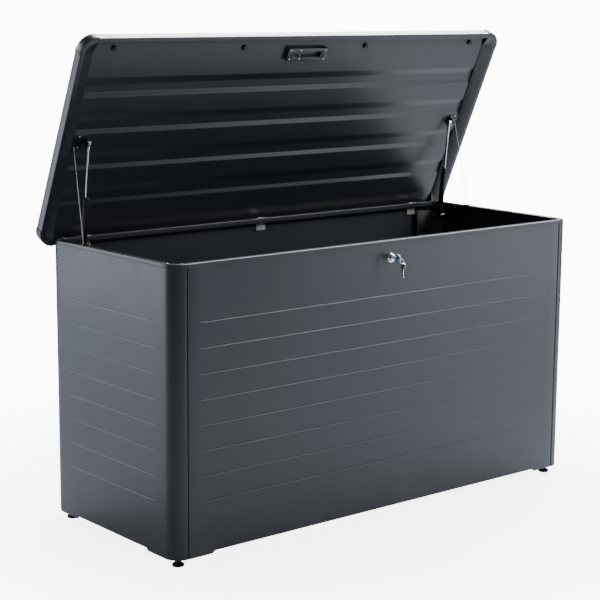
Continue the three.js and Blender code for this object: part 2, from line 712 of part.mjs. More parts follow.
// The bracket on the side rim: a strip along the lip, a stud for the strut and a clip over the rim for the
// stay cable.
function sideBracket() {
  const face = halfLength - rimFlange - clearance;
  const [top, low] = [rimHeight - 4, strutFoot.z - 13];
  const stripLow = rimHeight - rimLip - 2;
  const strip = block(face - bracketSheet, face, cableFoot.y - 8, strutFoot.y + 25, stripLow, top);
  const plate = block(face - bracketSheet, face, strutFoot.y - 25, strutFoot.y + 25, low, top);
  const eyeHalf = strutEyeWidth / 2;
  const collar = barX(6, strutOffset + eyeHalf + clearance, face - 1, strutFoot.y, strutFoot.z);
  const stud = barX(strutStud, strutOffset - eyeHalf - 2, face - 1, strutFoot.y, strutFoot.z);
  const shelf = cableFoot.z - 0.3;
  const [clip0, clip1] = [cableFoot.y - 6, cableFoot.y + 6];
  const lug = block(face - bracketSheet, cableFoot.x + 4, clip0, clip1, rimHeight + clearance, shelf);
  const drop = block(face - bracketSheet, face, clip0, clip1, top - 1, shelf);
  return strip.add(plate).add(collar).add(stud).add(lug).add(drop);
}

// Struts, drawn along +Z from the lower pivot and leaned onto the line between the two pivots
const strutLean = Math.atan2(strutFoot.y - strutHead.y, strutHead.z - strutFoot.z);
const strutLength = Math.hypot(strutFoot.y - strutHead.y, strutHead.z - strutFoot.z);

function strutCylinder() {
  const [r, eyeHalf] = [cylinderRadius, strutEyeWidth / 2];
  const tube = turned([[0, strutEye - 2], [r - 2, strutEye - 2], [r, strutEye], [r, cylinderLength - 2],
    [r - 2, cylinderLength], [0, cylinderLength]], 0, 0, 0, 24);
  const eye = barX(strutEye, -eyeHalf, eyeHalf, 0, 0);
  const bore = barZ(rodRadius + 0.3, cylinderLength - boreDepth, cylinderLength + 1, 0, 0, 16);
  return tube.add(eye).subtract(bore).subtract(barX(strutStud + 0.4, -r - 1, r + 1, 0, 0, 16));
}

function strutRod() {
  const rod = barZ(rodRadius, cylinderLength - rodInserted, strutLength - strutEye + 2, 0, 0, 16);
  const sleeve = barZ(strutEyeWidth / 2, strutLength - strutEye - 16, strutLength - strutEye + 2, 0, 0, 16);
  const eye = barX(strutEye, -strutEyeWidth / 2, strutEyeWidth / 2, 0, strutLength);
  return rod.add(sleeve).add(eye);
}

// Stay cables, taut while the lid is open, from the lug on the rim to the bracket on the lid
const cableHeadClosed = { x: lidHalf - lidSideFlange - 3, y: headClosed.y + 11, z: bracketZ - 0.3 };
const cableHead = turnedAboutHinge(cableHeadClosed, -openAngle);

function stayCable() {
  const foot = new THREE.Vector3(cableFoot.x, cableFoot.y, cableFoot.z);
  const head = new THREE.Vector3(cableHeadClosed.x, cableHead.y, cableHead.z);
  const along = head.clone().sub(foot);
  const trim = 1.2;
  const wire = new THREE.CylinderGeometry(cableRadius, cableRadius, along.length() - 2 * trim, 8);
  const lean = new THREE.Quaternion();
  lean.setFromUnitVectors(new THREE.Vector3(0, 1, 0), along.clone().normalize());
  wire.applyQuaternion(lean);
  const middle = foot.add(head).multiplyScalar(0.5);
  return solidOf(wire.translate(middle.x, middle.y, middle.z));
}

for (const [side, toSide] of sides) {
  place(deckBox, `side_bracket_${side}`, toSide(sideBracket()), "coat");
  place(deckBox, `stay_cable_${side}`, toSide(stayCable()), "steel");
  const strut = new THREE.Group();
  strut.position.set(side === "left" ? -strutOffset : strutOffset, strutFoot.y, strutFoot.z);
  strut.rotation.x = strutLean;
  place(strut, `strut_cylinder_${side}`, strutCylinder(), "black");
  place(strut, `strut_rod_${side}`, strutRod(), "chrome");
  deckBox.add(strut);
}

// The origin is in the middle of the ground that the open box covers, from its keys to the back of its lid.
const frontReach = spareBow - ringLow.y;
const rearReach = turnedAboutHinge({ y: lidRear + capProud, z: lidFloor + lidWall }, -openAngle).y;
deckBox.position.y = Math.round((frontReach - rearReach) / 2);
const model = new THREE.Group();
model.add(deckBox);
export default model;
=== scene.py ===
import json
import math

import bmesh
import bpy
import numpy as np
from mathutils import Matrix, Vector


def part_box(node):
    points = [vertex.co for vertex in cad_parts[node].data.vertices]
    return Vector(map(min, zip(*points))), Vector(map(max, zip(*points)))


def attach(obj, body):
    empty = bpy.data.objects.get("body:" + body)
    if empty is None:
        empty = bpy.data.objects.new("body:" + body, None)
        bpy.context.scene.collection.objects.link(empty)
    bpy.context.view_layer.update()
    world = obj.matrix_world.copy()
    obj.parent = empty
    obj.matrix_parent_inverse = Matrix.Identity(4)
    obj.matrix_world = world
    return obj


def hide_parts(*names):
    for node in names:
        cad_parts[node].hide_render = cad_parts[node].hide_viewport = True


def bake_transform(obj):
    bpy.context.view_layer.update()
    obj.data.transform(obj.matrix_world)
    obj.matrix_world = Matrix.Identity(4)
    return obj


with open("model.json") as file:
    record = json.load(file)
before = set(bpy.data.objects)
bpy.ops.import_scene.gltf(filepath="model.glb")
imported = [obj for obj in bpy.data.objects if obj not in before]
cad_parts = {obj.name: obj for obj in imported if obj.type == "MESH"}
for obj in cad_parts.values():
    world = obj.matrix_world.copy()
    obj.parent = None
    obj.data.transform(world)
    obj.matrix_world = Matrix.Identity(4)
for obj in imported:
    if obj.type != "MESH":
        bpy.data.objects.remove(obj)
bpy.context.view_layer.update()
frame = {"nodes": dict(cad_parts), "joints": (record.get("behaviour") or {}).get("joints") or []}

# %% [markdown]
# ## Sizes
# The real box is a symmetrical body with its middle a little behind the origin, so all shapes are written
# in millimetres about the body's own middle, and one function takes them to the model's metres. The main
# sizes are read from the nodes' boxes. Finer ones, such as the spacing of the pressed lines and of the
# beads, are written out and would have to be changed with the model.
# %% Read the sizes
def node_box(name):
    low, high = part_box(name)
    return np.array(low) * 1000, np.array(high) * 1000


joints = {joint["name"]: joint for joint in frame["joints"]}
stand_back = (node_box("rim_front")[0][1] + node_box("rim_rear")[1][1]) / 2
half_length = node_box("rim_right")[1][0]
half_depth = node_box("rim_rear")[1][1] - stand_back
rim_height = node_box("rim_left")[1][2]
skirt_height, panel_top = node_box("side_panel_right")[0][2], node_box("side_panel_right")[1][2]
seam = node_box("side_panel_right")[0][0]
corner_radius = half_length - seam
seam_gap = seam - node_box("front_panel")[1][0]
sheet = 1.2
hinge_y = joints["lid_hinge"]["pos_m"][1] * 1000 - stand_back
hinge_z = joints["lid_hinge"]["pos_m"][2] * 1000
open_angle = math.radians(max(joints["lid_hinge"]["range_deg"]))
lock_z = joints["lock_turn"]["pos_m"][2] * 1000
print("half length", round(half_length), "half depth", round(half_depth), "rim", round(rim_height, 1))

# %% [markdown]
# ## From millimetres to a mesh
# The lid is easiest to draw closed and flat. The same function that adds the body's place can also turn a
# lid piece open about the hinge line, which leaves its object at the origin and unturned.
# %% Place points in the model
def opened(points):
    turned_points = np.array(points, float)
    dy, dz = turned_points[..., 1] - hinge_y, turned_points[..., 2] - hinge_z
    c, s = math.cos(open_angle), math.sin(open_angle)
    turned_points[..., 1] = hinge_y + dy * c + dz * s
    turned_points[..., 2] = hinge_z - dy * s + dz * c
    return turned_points


def in_model(points, on_lid=False):
    placed = opened(points) if on_lid else np.array(points, float)
    placed[..., 1] += stand_back
    return placed / 1000


def cleaned(thing, sharp_angle=32):
    """Merges doubled corners, turns every face outward and keeps the folds crisp."""
    work = bmesh.new()
    work.from_mesh(thing.data)
    bmesh.ops.remove_doubles(work, verts=work.verts, dist=2e-6)
    bmesh.ops.dissolve_degenerate(work, edges=work.edges, dist=1e-7)
    bmesh.ops.recalc_face_normals(work, faces=work.faces)
    work.to_mesh(thing.data)
    work.free()
    thing.data.shade_smooth()
    thing.data.set_sharp_from_angle(angle=math.radians(sharp_angle))
    return thing


def build(name, parts, on_lid=False, sharp_angle=32):
    """One object from parts, which are pairs of points and faces."""
    points, faces, start = [], [], 0
    for part_points, part_faces in parts:
        part_points = np.array(part_points, float).reshape(-1, 3)
        points.append(part_points)
        faces += [tuple(start + i for i in face) for face in part_faces]
        start += len(part_points)
    data = bpy.data.meshes.new(name)
    data.from_pydata(in_model(np.vstack(points), on_lid).tolist(), [], faces)
    thing = bpy.data.objects.new(name, data)
    bpy.context.scene.collection.objects.link(thing)
    return cleaned(thing, sharp_angle)


# %% [markdown]
# ## Shapes that the pieces share
# Bent sheet is an outline drawn along a line, a turned part is a profile taken round an axis, and a pressed
# panel is a grid with a thickness. Those three cover nearly the whole box.
# %% Outlines with rounded corners
def rounded(points, radii, steps=3, closed=True):
    """The outline with an arc at each corner; radii is one number, or one for each corner."""
    points = [np.array(point, float) for point in points]
    count = len(points)
    radii = radii if hasattr(radii, "__len__") else [radii] * count
    outline = []
    for i, corner in enumerate(points):
        if radii[i] <= 0 or (not closed and i in (0, count - 1)):
            outline.append(corner)
            continue
        before, after = points[i - 1] - corner, points[(i + 1) % count] - corner
        before, after = before / np.linalg.norm(before), after / np.linalg.norm(after)
        half = math.acos(float(np.clip(before @ after, -1, 1))) / 2
        middle = before + after
        centre = corner + middle / np.linalg.norm(middle) * radii[i] / math.sin(half)
        first = corner + before * radii[i] / math.tan(half) - centre
        last = corner + after * radii[i] / math.tan(half) - centre
        sweep = math.pi - 2 * half
        count_here = max(steps, round(radii[i] / 3))
        for k in range(count_here + 1):
            t = k / count_here
            weights = math.sin((1 - t) * sweep), math.sin(t * sweep)
            outline.append(centre + (weights[0] * first + weights[1] * last) / math.sin(sweep))
    return np.array(outline)


# %% Lofts, turned parts and shells
def loft(rings, closed=False):
    """A skin over rings of points, with a cap at each end unless the rings close on themselves."""
    rings = np.array(rings, float)
    count, size = rings.shape[:2]
    faces = []
    for i in range(count if closed else count - 1):
        a, b = i * size, ((i + 1) % count) * size
        faces += [(a + j, a + (j + 1) % size, b + (j + 1) % size, b + j) for j in range(size)]
    if not closed:
        faces += [tuple(range(size))[::-1], tuple(range((count - 1) * size, count * size))]
    return rings.reshape(-1, 3), faces


def turned(profile, start, axis, sides=40, ring=False):
    """A profile of [radius, distance along the axis] taken round it. A ring's profile closes on itself."""
    axis = np.array(axis, float) / np.linalg.norm(axis)
    across = np.cross(axis, [0.3, 0.9, 0.2] if abs(axis[0]) > 0.5 else [1.0, 0.0, 0.0])
    across /= np.linalg.norm(across)
    angles = np.arange(sides) * 2 * math.pi / sides
    spokes = np.outer(np.cos(angles), across) + np.outer(np.sin(angles), np.cross(axis, across))
    rings = [np.array(start) + axis * along + spokes * max(radius, 0.02) for radius, along in profile]
    return loft(rings, closed=ring)


def shell(outer, inner):
    """A closed sheet between two grids of points."""
    rows, columns = outer.shape[:2]
    size = rows * columns
    at = lambda side, i, j: side * size + i * columns + j
    faces = []
    for i in range(rows - 1):
        for j in range(columns - 1):
            faces.append((at(0, i, j), at(0, i, j + 1), at(0, i + 1, j + 1), at(0, i + 1, j)))
            faces.append((at(1, i, j), at(1, i + 1, j), at(1, i + 1, j + 1), at(1, i, j + 1)))
    for i in (0, rows - 1):
        faces += [(at(0, i, j), at(0, i, j + 1), at(1, i, j + 1), at(1, i, j)) for j in range(columns - 1)]
    for j in (0, columns - 1):
        faces += [(at(0, i, j), at(0, i + 1, j), at(1, i + 1, j), at(1, i, j)) for i in range(rows - 1)]
    return np.vstack([outer.reshape(-1, 3), inner.reshape(-1, 3)]), faces


# %% [markdown]
# ## Modifiers, applied
# Hard parts such as brackets and leaves keep the shape of their node. A copy of the node, merged and with
# a narrow bevel, catches light along its edges as real stamped steel does. Modifiers are turned into plain
# mesh at once, because a finished piece must carry its place in its vertices.
# %% Apply modifiers, bevel a copy and cut
def applied(thing):
    graph = bpy.context.evaluated_depsgraph_get()
    made = bpy.data.meshes.new_from_object(thing.evaluated_get(graph))
    thing.modifiers.clear()
    thing.data = made
    return thing


def bevelled(thing, width, segments=2):
    bevel = thing.modifiers.new("edges", "BEVEL")
    bevel.width, bevel.segments = width / 1000, segments
    bevel.limit_method, bevel.angle_limit = "ANGLE", math.radians(38)
    bevel.use_clamp_overlap = True
    return cleaned(applied(thing))


def softened_copy(name, width=0.3):
    """A copy of a node with its flat faces merged and its edges bevelled."""
    thing = bpy.data.objects.new(name + "_piece", frame["nodes"][name].data.copy())
    bpy.context.scene.collection.objects.link(thing)
    work = bmesh.new()
    work.from_mesh(thing.data)
    bmesh.ops.remove_doubles(work, verts=work.verts, dist=2e-6)
    bmesh.ops.dissolve_limit(work, angle_limit=math.radians(1), verts=work.verts, edges=work.edges)
    work.to_mesh(thing.data)
    work.free()
    return bevelled(thing, width)


def cut(thing, parts):
    """Takes solids away from a piece."""
    tool = build("cutting_tool", parts)
    cutting = thing.modifiers.new("cut", "BOOLEAN")
    cutting.operation, cutting.solver, cutting.object = "DIFFERENCE", "EXACT", tool
    applied(thing)
    bpy.data.objects.remove(tool)
    return cleaned(thing)


def block(x0, x1, y0, y1, z0, z1):
    ring = lambda z: [(x0, y0, z), (x1, y0, z), (x1, y1, z), (x0, y1, z)]
    return loft([ring(z0), ring(z1)])


def dress(thing, finish, body, nodes=()):
    """Gives a piece its finish, hides the nodes that it stands for and parents it to the body that it moves
    with.
    """
    thing.data.materials.clear()
    thing.data.materials.append(finish)
    if nodes:
        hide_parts(*([nodes] if isinstance(nodes, str) else nodes))
    thing.name
    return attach(thing, body)


# %% [markdown]
# ## Writing a finish as sums
# A node tree is easier to read as arithmetic. A small class wraps a socket and answers to plus, minus,
# times and divided by, and one method makes any other node from its type, its settings and its sockets.
# %% Shader sums
class Value:
    def __init__(self, finish, socket):
        self.finish, self.socket = finish, socket

    def sum_of(self, operation, first, second):
        return self.finish.node("ShaderNodeMath", {"operation": operation}, {0: first, 1: second})

    def __add__(self, other): return self.sum_of("ADD", self, other)
    def __radd__(self, other): return self.sum_of("ADD", other, self)
    def __sub__(self, other): return self.sum_of("SUBTRACT", self, other)
    def __rsub__(self, other): return self.sum_of("SUBTRACT", other, self)
    def __mul__(self, other): return self.sum_of("MULTIPLY", self, other)
    def __rmul__(self, other): return self.sum_of("MULTIPLY", other, self)
    def __truediv__(self, other): return self.sum_of("DIVIDE", self, other)
    def __rtruediv__(self, other): return self.sum_of("DIVIDE", other, self)


class Finish:
    """A material, with one method that makes any node in it."""

    def __init__(self, name, **constants):
        self.material = bpy.data.materials.new(name)
        self.material.use_nodes = True
        self.tree = self.material.node_tree
        self.surface = self.tree.nodes["Principled BSDF"]
        for socket, value in constants.items():
            self.surface.inputs[socket.replace("_", " ")].default_value = value

    def node(self, kind, settings=None, sockets=None, output=0):
        made = self.tree.nodes.new(kind)
        for key, value in (settings or {}).items():
            if key == "stops":
                ramp = made.color_ramp
                while len(ramp.elements) < len(value):
                    ramp.elements.new(0.5)
                for element, (position, colour) in zip(ramp.elements, value):
                    element.position, element.color = position, colour
            else:
                setattr(made, key, value)
        for key, value in (sockets or {}).items():
            self.plug(value, made.inputs[key])
        return Value(self, made.outputs[output])

    def plug(self, value, socket):
        if isinstance(value, Value):
            self.tree.links.new(value.socket, socket)
        else:
            socket.default_value = value

    def drive(self, name, value):
        self.plug(value, self.surface.inputs[name])

    def place(self):
        return self.node("ShaderNodeTexCoord", output="Object")

    def noise(self, scale, detail=2.0, stretch=None):
        where = self.place()
        if stretch:
            where = self.node("ShaderNodeVectorMath", {"operation": "MULTIPLY"}, {0: where, 1: stretch})
        return self.node("ShaderNodeTexNoise", {}, {"Vector": where, "Scale": scale, "Detail": detail}, "Fac")

    def between(self, value, low, high, first=0.0, last=1.0):
        return self.node("ShaderNodeMapRange", {"interpolation_type": "SMOOTHSTEP"},
                         {"Value": value, "From Min": low, "From Max": high, "To Min": first, "To Max": last})

    def mix(self, share, first, second):
        return self.node("ShaderNodeMix", {"data_type": "RGBA"}, {0: share, 6: first, 7: second}, 2)

    def bump(self, height, strength, distance):
        self.drive("Normal", self.node("ShaderNodeBump", {}, {
            "Height": height, "Strength": strength, "Distance": distance}, "Normal"))


# %% [markdown]
# ## Powder coat
# The box wears one coat: a dark blue-grey polyester powder, baked into a satin skin with a fine
# orange peel. Three noises of different sizes do it: a slow drift of tone, a film of handling marks that
# changes only the gloss, and the peel itself as a bump. Dust gathers low down, so the foot is a bit paler.
# The lid gets a darker copy of the same coat, which is painted shade for the dim inside of the open lid.
# %% The powder coat
def powder_coat(name, dark, light, gloss):
    coat = Finish(name, IOR=1.52, Coat_Roughness=0.18)
    drift = coat.noise(2.4, 3.0)
    speck = coat.noise(1400.0, 1.0)
    height = coat.node("ShaderNodeSeparateXYZ", {}, {0: coat.place()}, "Z")
    dust = coat.between(height, 0.02, 0.24, 0.16, 0.0) * coat.between(coat.noise(9.0, 4.0), 0.35, 0.75)
    tone = coat.between(drift, 0.25, 0.75) * 0.55 + coat.between(speck, 0.35, 0.65) * 0.45
    colour = coat.mix(tone, dark, light)
    coat.drive("Base Color", coat.mix(dust, colour, (0.11, 0.105, 0.095, 1)))
    marks = coat.between(coat.noise(14.0, 5.0), 0.42, 0.72)
    coat.drive("Roughness", gloss + coat.between(drift, 0.2, 0.8) * 0.05 + marks * 0.02 + dust * 0.3)
    coat.drive("Coat Weight", 0.08 - marks * 0.03)
    peel = coat.noise(420.0, 2.0) * 0.7 + coat.noise(1300.0, 1.0) * 0.3
    coat.bump(peel, 0.1, 0.0004)
    return coat.material


body_coat = powder_coat("anthracite_powder_coat", (0.021, 0.0250, 0.0325, 1),
                        (0.028, 0.0335, 0.0425, 1), 0.33)
# The lid's copy of the coat is darker than the body's: painted shade for the dim inside of the open lid.
lid_coat_with_painted_shade = powder_coat("anthracite_lid_coat", (0.015, 0.0180, 0.0240, 1),
                       (0.020, 0.0245, 0.0320, 1), 0.31)
print("coats", body_coat.name, lid_coat_with_painted_shade.name)

# %% [markdown]
# ## Bare metals
# Zinc-plated hinge parts are pale and slightly cloudy, chrome is nearly a mirror with hair-fine scratches,
# and the drawn steel of pins and cables is greyer, with its scratches along the length.
# %% Metals
def metal(name, dark, light, gloss, cloud_scale, scratch, stretch=(1.0, 1.0, 1.0), bump=0.08, metallic=1.0):
    made = Finish(name, Metallic=metallic)
    cloud = made.between(made.noise(cloud_scale, 3.0), 0.3, 0.7)
    lines = made.noise(scratch, 3.0, stretch)
    made.drive("Base Color", made.mix(cloud * 0.7 + lines * 0.3, dark, light))
    made.drive("Roughness", gloss + cloud * 0.08 + made.between(lines, 0.5, 0.8) * 0.14)
    made.bump(lines, bump, 0.0002)
    return made.material


zinc = metal("zinc_plate", (0.74, 0.75, 0.75, 1), (0.90, 0.91, 0.90, 1), 0.38, 160.0, 900.0, metallic=0.6)
chrome = metal("bright_chrome", (0.70, 0.71, 0.73, 1), (0.86, 0.87, 0.88, 1), 0.08, 90.0, 1500.0, bump=0.03)
rod_chrome = metal("hard_chrome_rod", (0.60, 0.61, 0.63, 1), (0.82, 0.83, 0.84, 1), 0.10, 60.0, 900.0,
                   (1.0, 1.0, 0.06), 0.03)
black_zinc = metal("black_zinc_screws", (0.05, 0.05, 0.055, 1), (0.12, 0.12, 0.13, 1), 0.3, 160.0, 900.0)
steel = metal("drawn_steel", (0.34, 0.34, 0.35, 1), (0.55, 0.55, 0.56, 1), 0.3, 120.0, 1200.0,
              (0.1, 1.0, 1.0))
bow_nickel = metal("satin_nickel_bow", (0.74, 0.74, 0.74, 1), (0.90, 0.90, 0.89, 1), 0.32, 140.0, 1600.0)
key_steel = metal("nickel_silver_key", (0.58, 0.57, 0.54, 1), (0.80, 0.79, 0.76, 1), 0.16, 140.0, 1600.0)

# %% [markdown]
# ## Paint, rubber and plastic
# The strut tubes are sprayed a thin glossy black, the feet are matt rubber with a grain, the plugs are
# moulded plastic, and the round insert of a key is clear blue plastic.
# %% Dark and coloured finishes
def moulded(name, dark, light, gloss, grain, bump, coat=0.0):
    made = Finish(name, Coat_Weight=coat, Coat_Roughness=0.1)
    cloud = made.between(made.noise(60.0, 3.0), 0.3, 0.7)
    fine = made.noise(grain, 2.0)
    made.drive("Base Color", made.mix(cloud, dark, light))
    made.drive("Roughness", gloss + made.between(fine, 0.3, 0.7) * 0.12)
    made.bump(fine, bump, 0.0003)
    return made.material


tube_paint = moulded("black_tube_paint", (0.006, 0.006, 0.007, 1), (0.012, 0.012, 0.013, 1),
                     0.24, 500.0, 0.05)
rubber = moulded("foot_rubber", (0.008, 0.008, 0.008, 1), (0.016, 0.016, 0.015, 1), 0.62, 900.0, 0.3)
plug_plastic = moulded("plug_plastic", (0.007, 0.007, 0.008, 1), (0.013, 0.013, 0.014, 1), 0.42, 1200.0, 0.15)
key_blue = moulded("key_insert_blue", (0.0, 0.30, 0.48, 1), (0.02, 0.52, 0.68, 1), 0.2, 700.0, 0.03, 0.6)
key_dark = moulded("key_insert_centre", (0.003, 0.006, 0.03, 1), (0.005, 0.01, 0.05, 1),
                   0.15, 700.0, 0.03, 0.5)
print("finishes", len(bpy.data.materials))

# %% [markdown]
# ## Body panels
# The front and back are sheets with a hem folded in at each end, and each side is one sheet that wraps
# round both corners. Eight shallow lines are pressed into every face. A path in plan, times a list of
# heights, makes the grid, and the lines are pushed into both faces of the sheet and die out at their ends.
# %% Panel helpers
def soft_step(x, low, high):
    t = np.clip((np.array(x, float) - low) / (high - low), 0, 1)
    return t * t * (3 - 2 * t)


first_line_drop, line_spacing = 159, 70.4
line_tops = [rim_height - first_line_drop - line_spacing * i for i in range(8)]
line_half, line_depth = 2.4, 1.0
skirt_step = 7


def panel_heights():
    rows = [skirt_height, 42.0]
    for top in reversed(line_tops):
        across_line = [top + line_half * k / 4 for k in range(-4, 5)]
        rows += [top - line_half - 0.5] + across_line + [top + line_half + 0.5]
    return np.array(rows + [panel_top - 40, panel_top])


def pressed_panel(name, path, line_end, step_end, along):
    """path holds the outer face in plan, anticlockwise; along says which coordinate the lines run along."""
    heights = panel_heights()
    forward = np.gradient(path, axis=0)
    forward /= np.linalg.norm(forward, axis=1)[:, None]
    outward = np.stack([forward[:, 1], -forward[:, 0]], 1)
    faces_out = soft_step(np.abs(outward[:, 1 - along]), 0.97, 0.999)
    reach = np.abs(path[:, along])
    strength = (1 - soft_step(reach, line_end - 7, line_end + 1)) * faces_out
    depth = np.zeros(len(heights))
    for top in line_tops:
        near = np.abs(heights - top) < line_half
        depth[near] = line_depth * (0.5 + 0.5 * np.cos(math.pi * (heights[near] - top) / line_half))
    raised = skirt_step * np.clip((step_end - reach) / skirt_step, 0, 1) * faces_out
    outer, inner = np.zeros((len(heights), len(path), 3)), np.zeros((len(heights), len(path), 3))
    for i, height in enumerate(heights):
        pressed = outward * (depth[i] * strength)[:, None]
        outer[i, :, :2] = path - pressed
        inner[i, :, :2] = path - pressed - outward * sheet
        outer[i, :, 2] = inner[i, :, 2] = height + (raised if i == 0 else 0)
    return build(name, [shell(outer, inner)])


def with_stations(path, along, stations):
    """Adds points to the long straight part of a path, at both signs of each station."""
    gaps = np.linalg.norm(np.diff(path, axis=0), axis=1)
    at = int(np.argmax(gaps))
    first, last = path[at], path[at + 1]
    values = sorted({s for station in stations for s in (station, -station)})
    if first[along] > last[along]:
        values = values[::-1]
    added = []
    for value in values:
        point = first.copy()
        point[along] = value
        added.append(point)
    return np.vstack([path[:at + 1], added, path[at + 1:]])


# %% Front, back and side panels
line_fade = (-9, -7, -6, -5, -4, -3, -2, -1, 0, 1, 3)
wide_end, hem = seam - seam_gap, 13
wide_path = rounded([(-wide_end, hem - half_depth), (-wide_end, -half_depth), (wide_end, -half_depth),
                     (wide_end, hem - half_depth)], [0, 1.6, 1.6, 0], 4, closed=False)
line_inset, step_inset = 88, 127
line_end_wide, step_wide = half_length - line_inset, half_length - step_inset
wide_stations = [line_end_wide + f for f in line_fade]
wide_stations += [step_wide, step_wide - skirt_step, 0, 150, 300, 450]
wide_path = with_stations(wide_path, 0, wide_stations)
front = pressed_panel("front_panel_piece", wide_path, line_end_wide, step_wide, 0)
lock_hole = 11.1
front = cut(front, [turned([(lock_hole, -5), (lock_hole, 5)], (0, -half_depth, lock_z), (0, 1, 0), 48)])
dress(front, body_coat, "box", "front_panel")
back = pressed_panel("rear_panel_piece", -wide_path, line_end_wide, step_wide, 0)
dress(back, body_coat, "box", "rear_panel")

side_path = rounded([(seam, hem - half_depth), (seam, -half_depth), (half_length, -half_depth),
                     (half_length, half_depth), (seam, half_depth), (seam, half_depth - hem)],
                    [0, 1.3, corner_radius - 1.4, corner_radius - 1.4, 1.3, 0], 4, closed=False)
line_end_side, step_side = half_depth - line_inset, half_depth - step_inset
side_stations = [line_end_side + f for f in line_fade] + [step_side, step_side - skirt_step, 0, 80]
side_path = with_stations(side_path, 1, side_stations)
for side, sign in (("right", 1), ("left", -1)):
    panel = pressed_panel(f"side_panel_{side}_piece", sign * side_path, line_end_side, step_side, 1)
    dress(panel, body_coat, "box", f"side_panel_{side}")
print("front panel", len(front.data.polygons), "faces; side panel", len(panel.data.polygons))

# %% [markdown]
# ## The rim
# A folded rail closes the mouth: a round nose outside, a flat top and a lip that turns down inside. It is
# one outline drawn along each side and round each corner, where a cap overlaps the joint by a hair.
# %% Rails and corner caps
rim_outline = rounded([(0, -10), (0, 0), (20, 0), (20, -15), (18.8, -15), (18.8, -1.2), (2.8, -1.2),
                       (2.8, -10)], [0.3, 2.4, 1.8, 0.4, 0.4, 0.5, 0.5, 0.3], 4)
tongue = [(1.6, -18), (2.8, -18), (2.8, -9), (1.6, -9)]


def rail(outline, end, along, sign):
    """An outline of [inset, height] drawn along x or y, at the positive or negative face."""
    outline = np.array(outline)
    rings = []
    for value in (-end, end):
        ring = np.zeros((len(outline), 3))
        face = half_depth if along == 0 else half_length
        ring[:, along] = value
        ring[:, 1 - along] = sign * (face - outline[:, 0])
        ring[:, 2] = rim_height + outline[:, 1]
        rings.append(ring)
    return loft(rings)


front_rail = build("rim_front_piece", [rail(rim_outline, seam - 0.8, 0, -1), rail(tongue, seam - 8, 0, -1)])
dress(front_rail, body_coat, "box", "rim_front")
rear_rail = build("rim_rear_piece", [rail(rim_outline, seam - 0.8, 0, 1)])
hinge_places = [sum(c[0] for c in node_box(f"hinge_pin_{n}")) / 2 for n in ("left", "centre", "right")]
hinge_half = (node_box("hinge_pin_left")[1][0] - node_box("hinge_pin_left")[0][0]) / 2 - 1
notches = [block(x - hinge_half - 2, x + hinge_half + 2, hinge_y - 7, half_depth + 2, rim_height - 10.2,
                 rim_height + 2) for x in hinge_places]
dress(cut(rear_rail, notches), body_coat, "box", "rim_rear")
for side, sign in (("left", -1), ("right", 1)):
    end = half_depth - corner_radius - 0.8
    side_rail = build(f"rim_{side}_piece", [rail(rim_outline, end, 1, sign), rail(tongue, end - 4, 1, sign)])
    dress(side_rail, body_coat, "box", f"rim_{side}")


def corner_sweep(outline, radius, centre, height, quarter, steps=18):
    """An outline of [inset, height] taken round one quarter of a circle."""
    outline = np.array(outline)
    rings = []
    for k in range(steps + 1):
        angle = (quarter + k / steps) * math.pi / 2
        away = radius - outline[:, 0]
        rings.append(np.stack([centre[0] + away * math.cos(angle), centre[1] + away * math.sin(angle),
                               height + outline[:, 1]], 1))
    return loft(rings)


corners = {"front_right": (1, -1, 3), "rear_right": (1, 1, 0), "rear_left": (-1, 1, 1),
           "front_left": (-1, -1, 2)}
for name, (sx, sy, quarter) in corners.items():
    centre = (sx * seam, sy * (half_depth - corner_radius))
    cap = build(f"rim_corner_{name}_piece",
                [corner_sweep(rim_outline, corner_radius + 0.3, centre, rim_height + 0.2, quarter)])
    dress(cap, body_coat, "box", f"rim_corner_{name}")
print("rim pieces", 8)

# %% [markdown]
# ## Posts, floor and brackets
# These are plain folded plates, so each is a softened copy of its node. The posts stand inside the corners
# and carry the feet; the floor is a shallow tray; the brackets hold the struts and cables.
# %% Softened copies
for name in corners:
    dress(softened_copy(f"corner_post_{name}", 0.4), body_coat, "box", f"corner_post_{name}")
dress(softened_copy("floor_panel", 0.3), body_coat, "box", "floor_panel")
for side in ("left", "right"):
    for bracket, body in ((f"side_bracket_{side}", "box"), (f"lid_bracket_{side}", "lid")):
        dress(softened_copy(bracket, 0.35), tube_paint, body, bracket)
dress(softened_copy("strike_plate", 0.25), lid_coat_with_painted_shade, "lid", "strike_plate")

# %% [markdown]
# ## The lid's skin
# The lid panel is one sheet with four long beads pressed upward to stiffen it. Each bead is a height over
# the grid, with the steeper slope on the hinge side and the longer one on the front side. The beads are
# drawn 4 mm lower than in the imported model, which softens the light on them. All bends are eased. The
# grid's corners are pulled in to the lid's round corners.
# %% Lid panel
lid_floor = rim_height + 1
lid_half = half_length + 35
lid_front, lid_rear = -half_depth - 25, half_depth + 14
lid_corner = 50
panel_depth = 17.5
bead_from_rear, bead_spacing = 147, 114.5
bead_places = [lid_rear - bead_from_rear - bead_spacing * i for i in range(4)]
bead_rear, bead_front, rear_slope, front_slope = 27, 31, 13, 20
bead_height, bead_end, end_slope = 5.5, lid_half - 40, 14


def eased(u, ease=0.14):
    """From 0 to 1 with rounded bends."""
    u = np.array(u, float)
    low = np.where(u < -ease, 0, np.where(u < ease, (u + ease) ** 2 / (4 * ease), u))
    v = 1 - u
    high = np.where(v < -ease, 0, np.where(v < ease, (v + ease) ** 2 / (4 * ease), v))
    return np.where(u < 0.5, low, 1 - high)


def bend_stations(half, slope):
    """Distances from the bead's middle that follow both rounded bends of a slope."""
    shares = [-0.25, -0.19, -0.14, -0.07, 0, 0.07, 0.14, 0.5, 0.86, 0.93, 1, 1.07, 1.14, 1.19, 1.25]
    return [half - slope * share for share in shares]


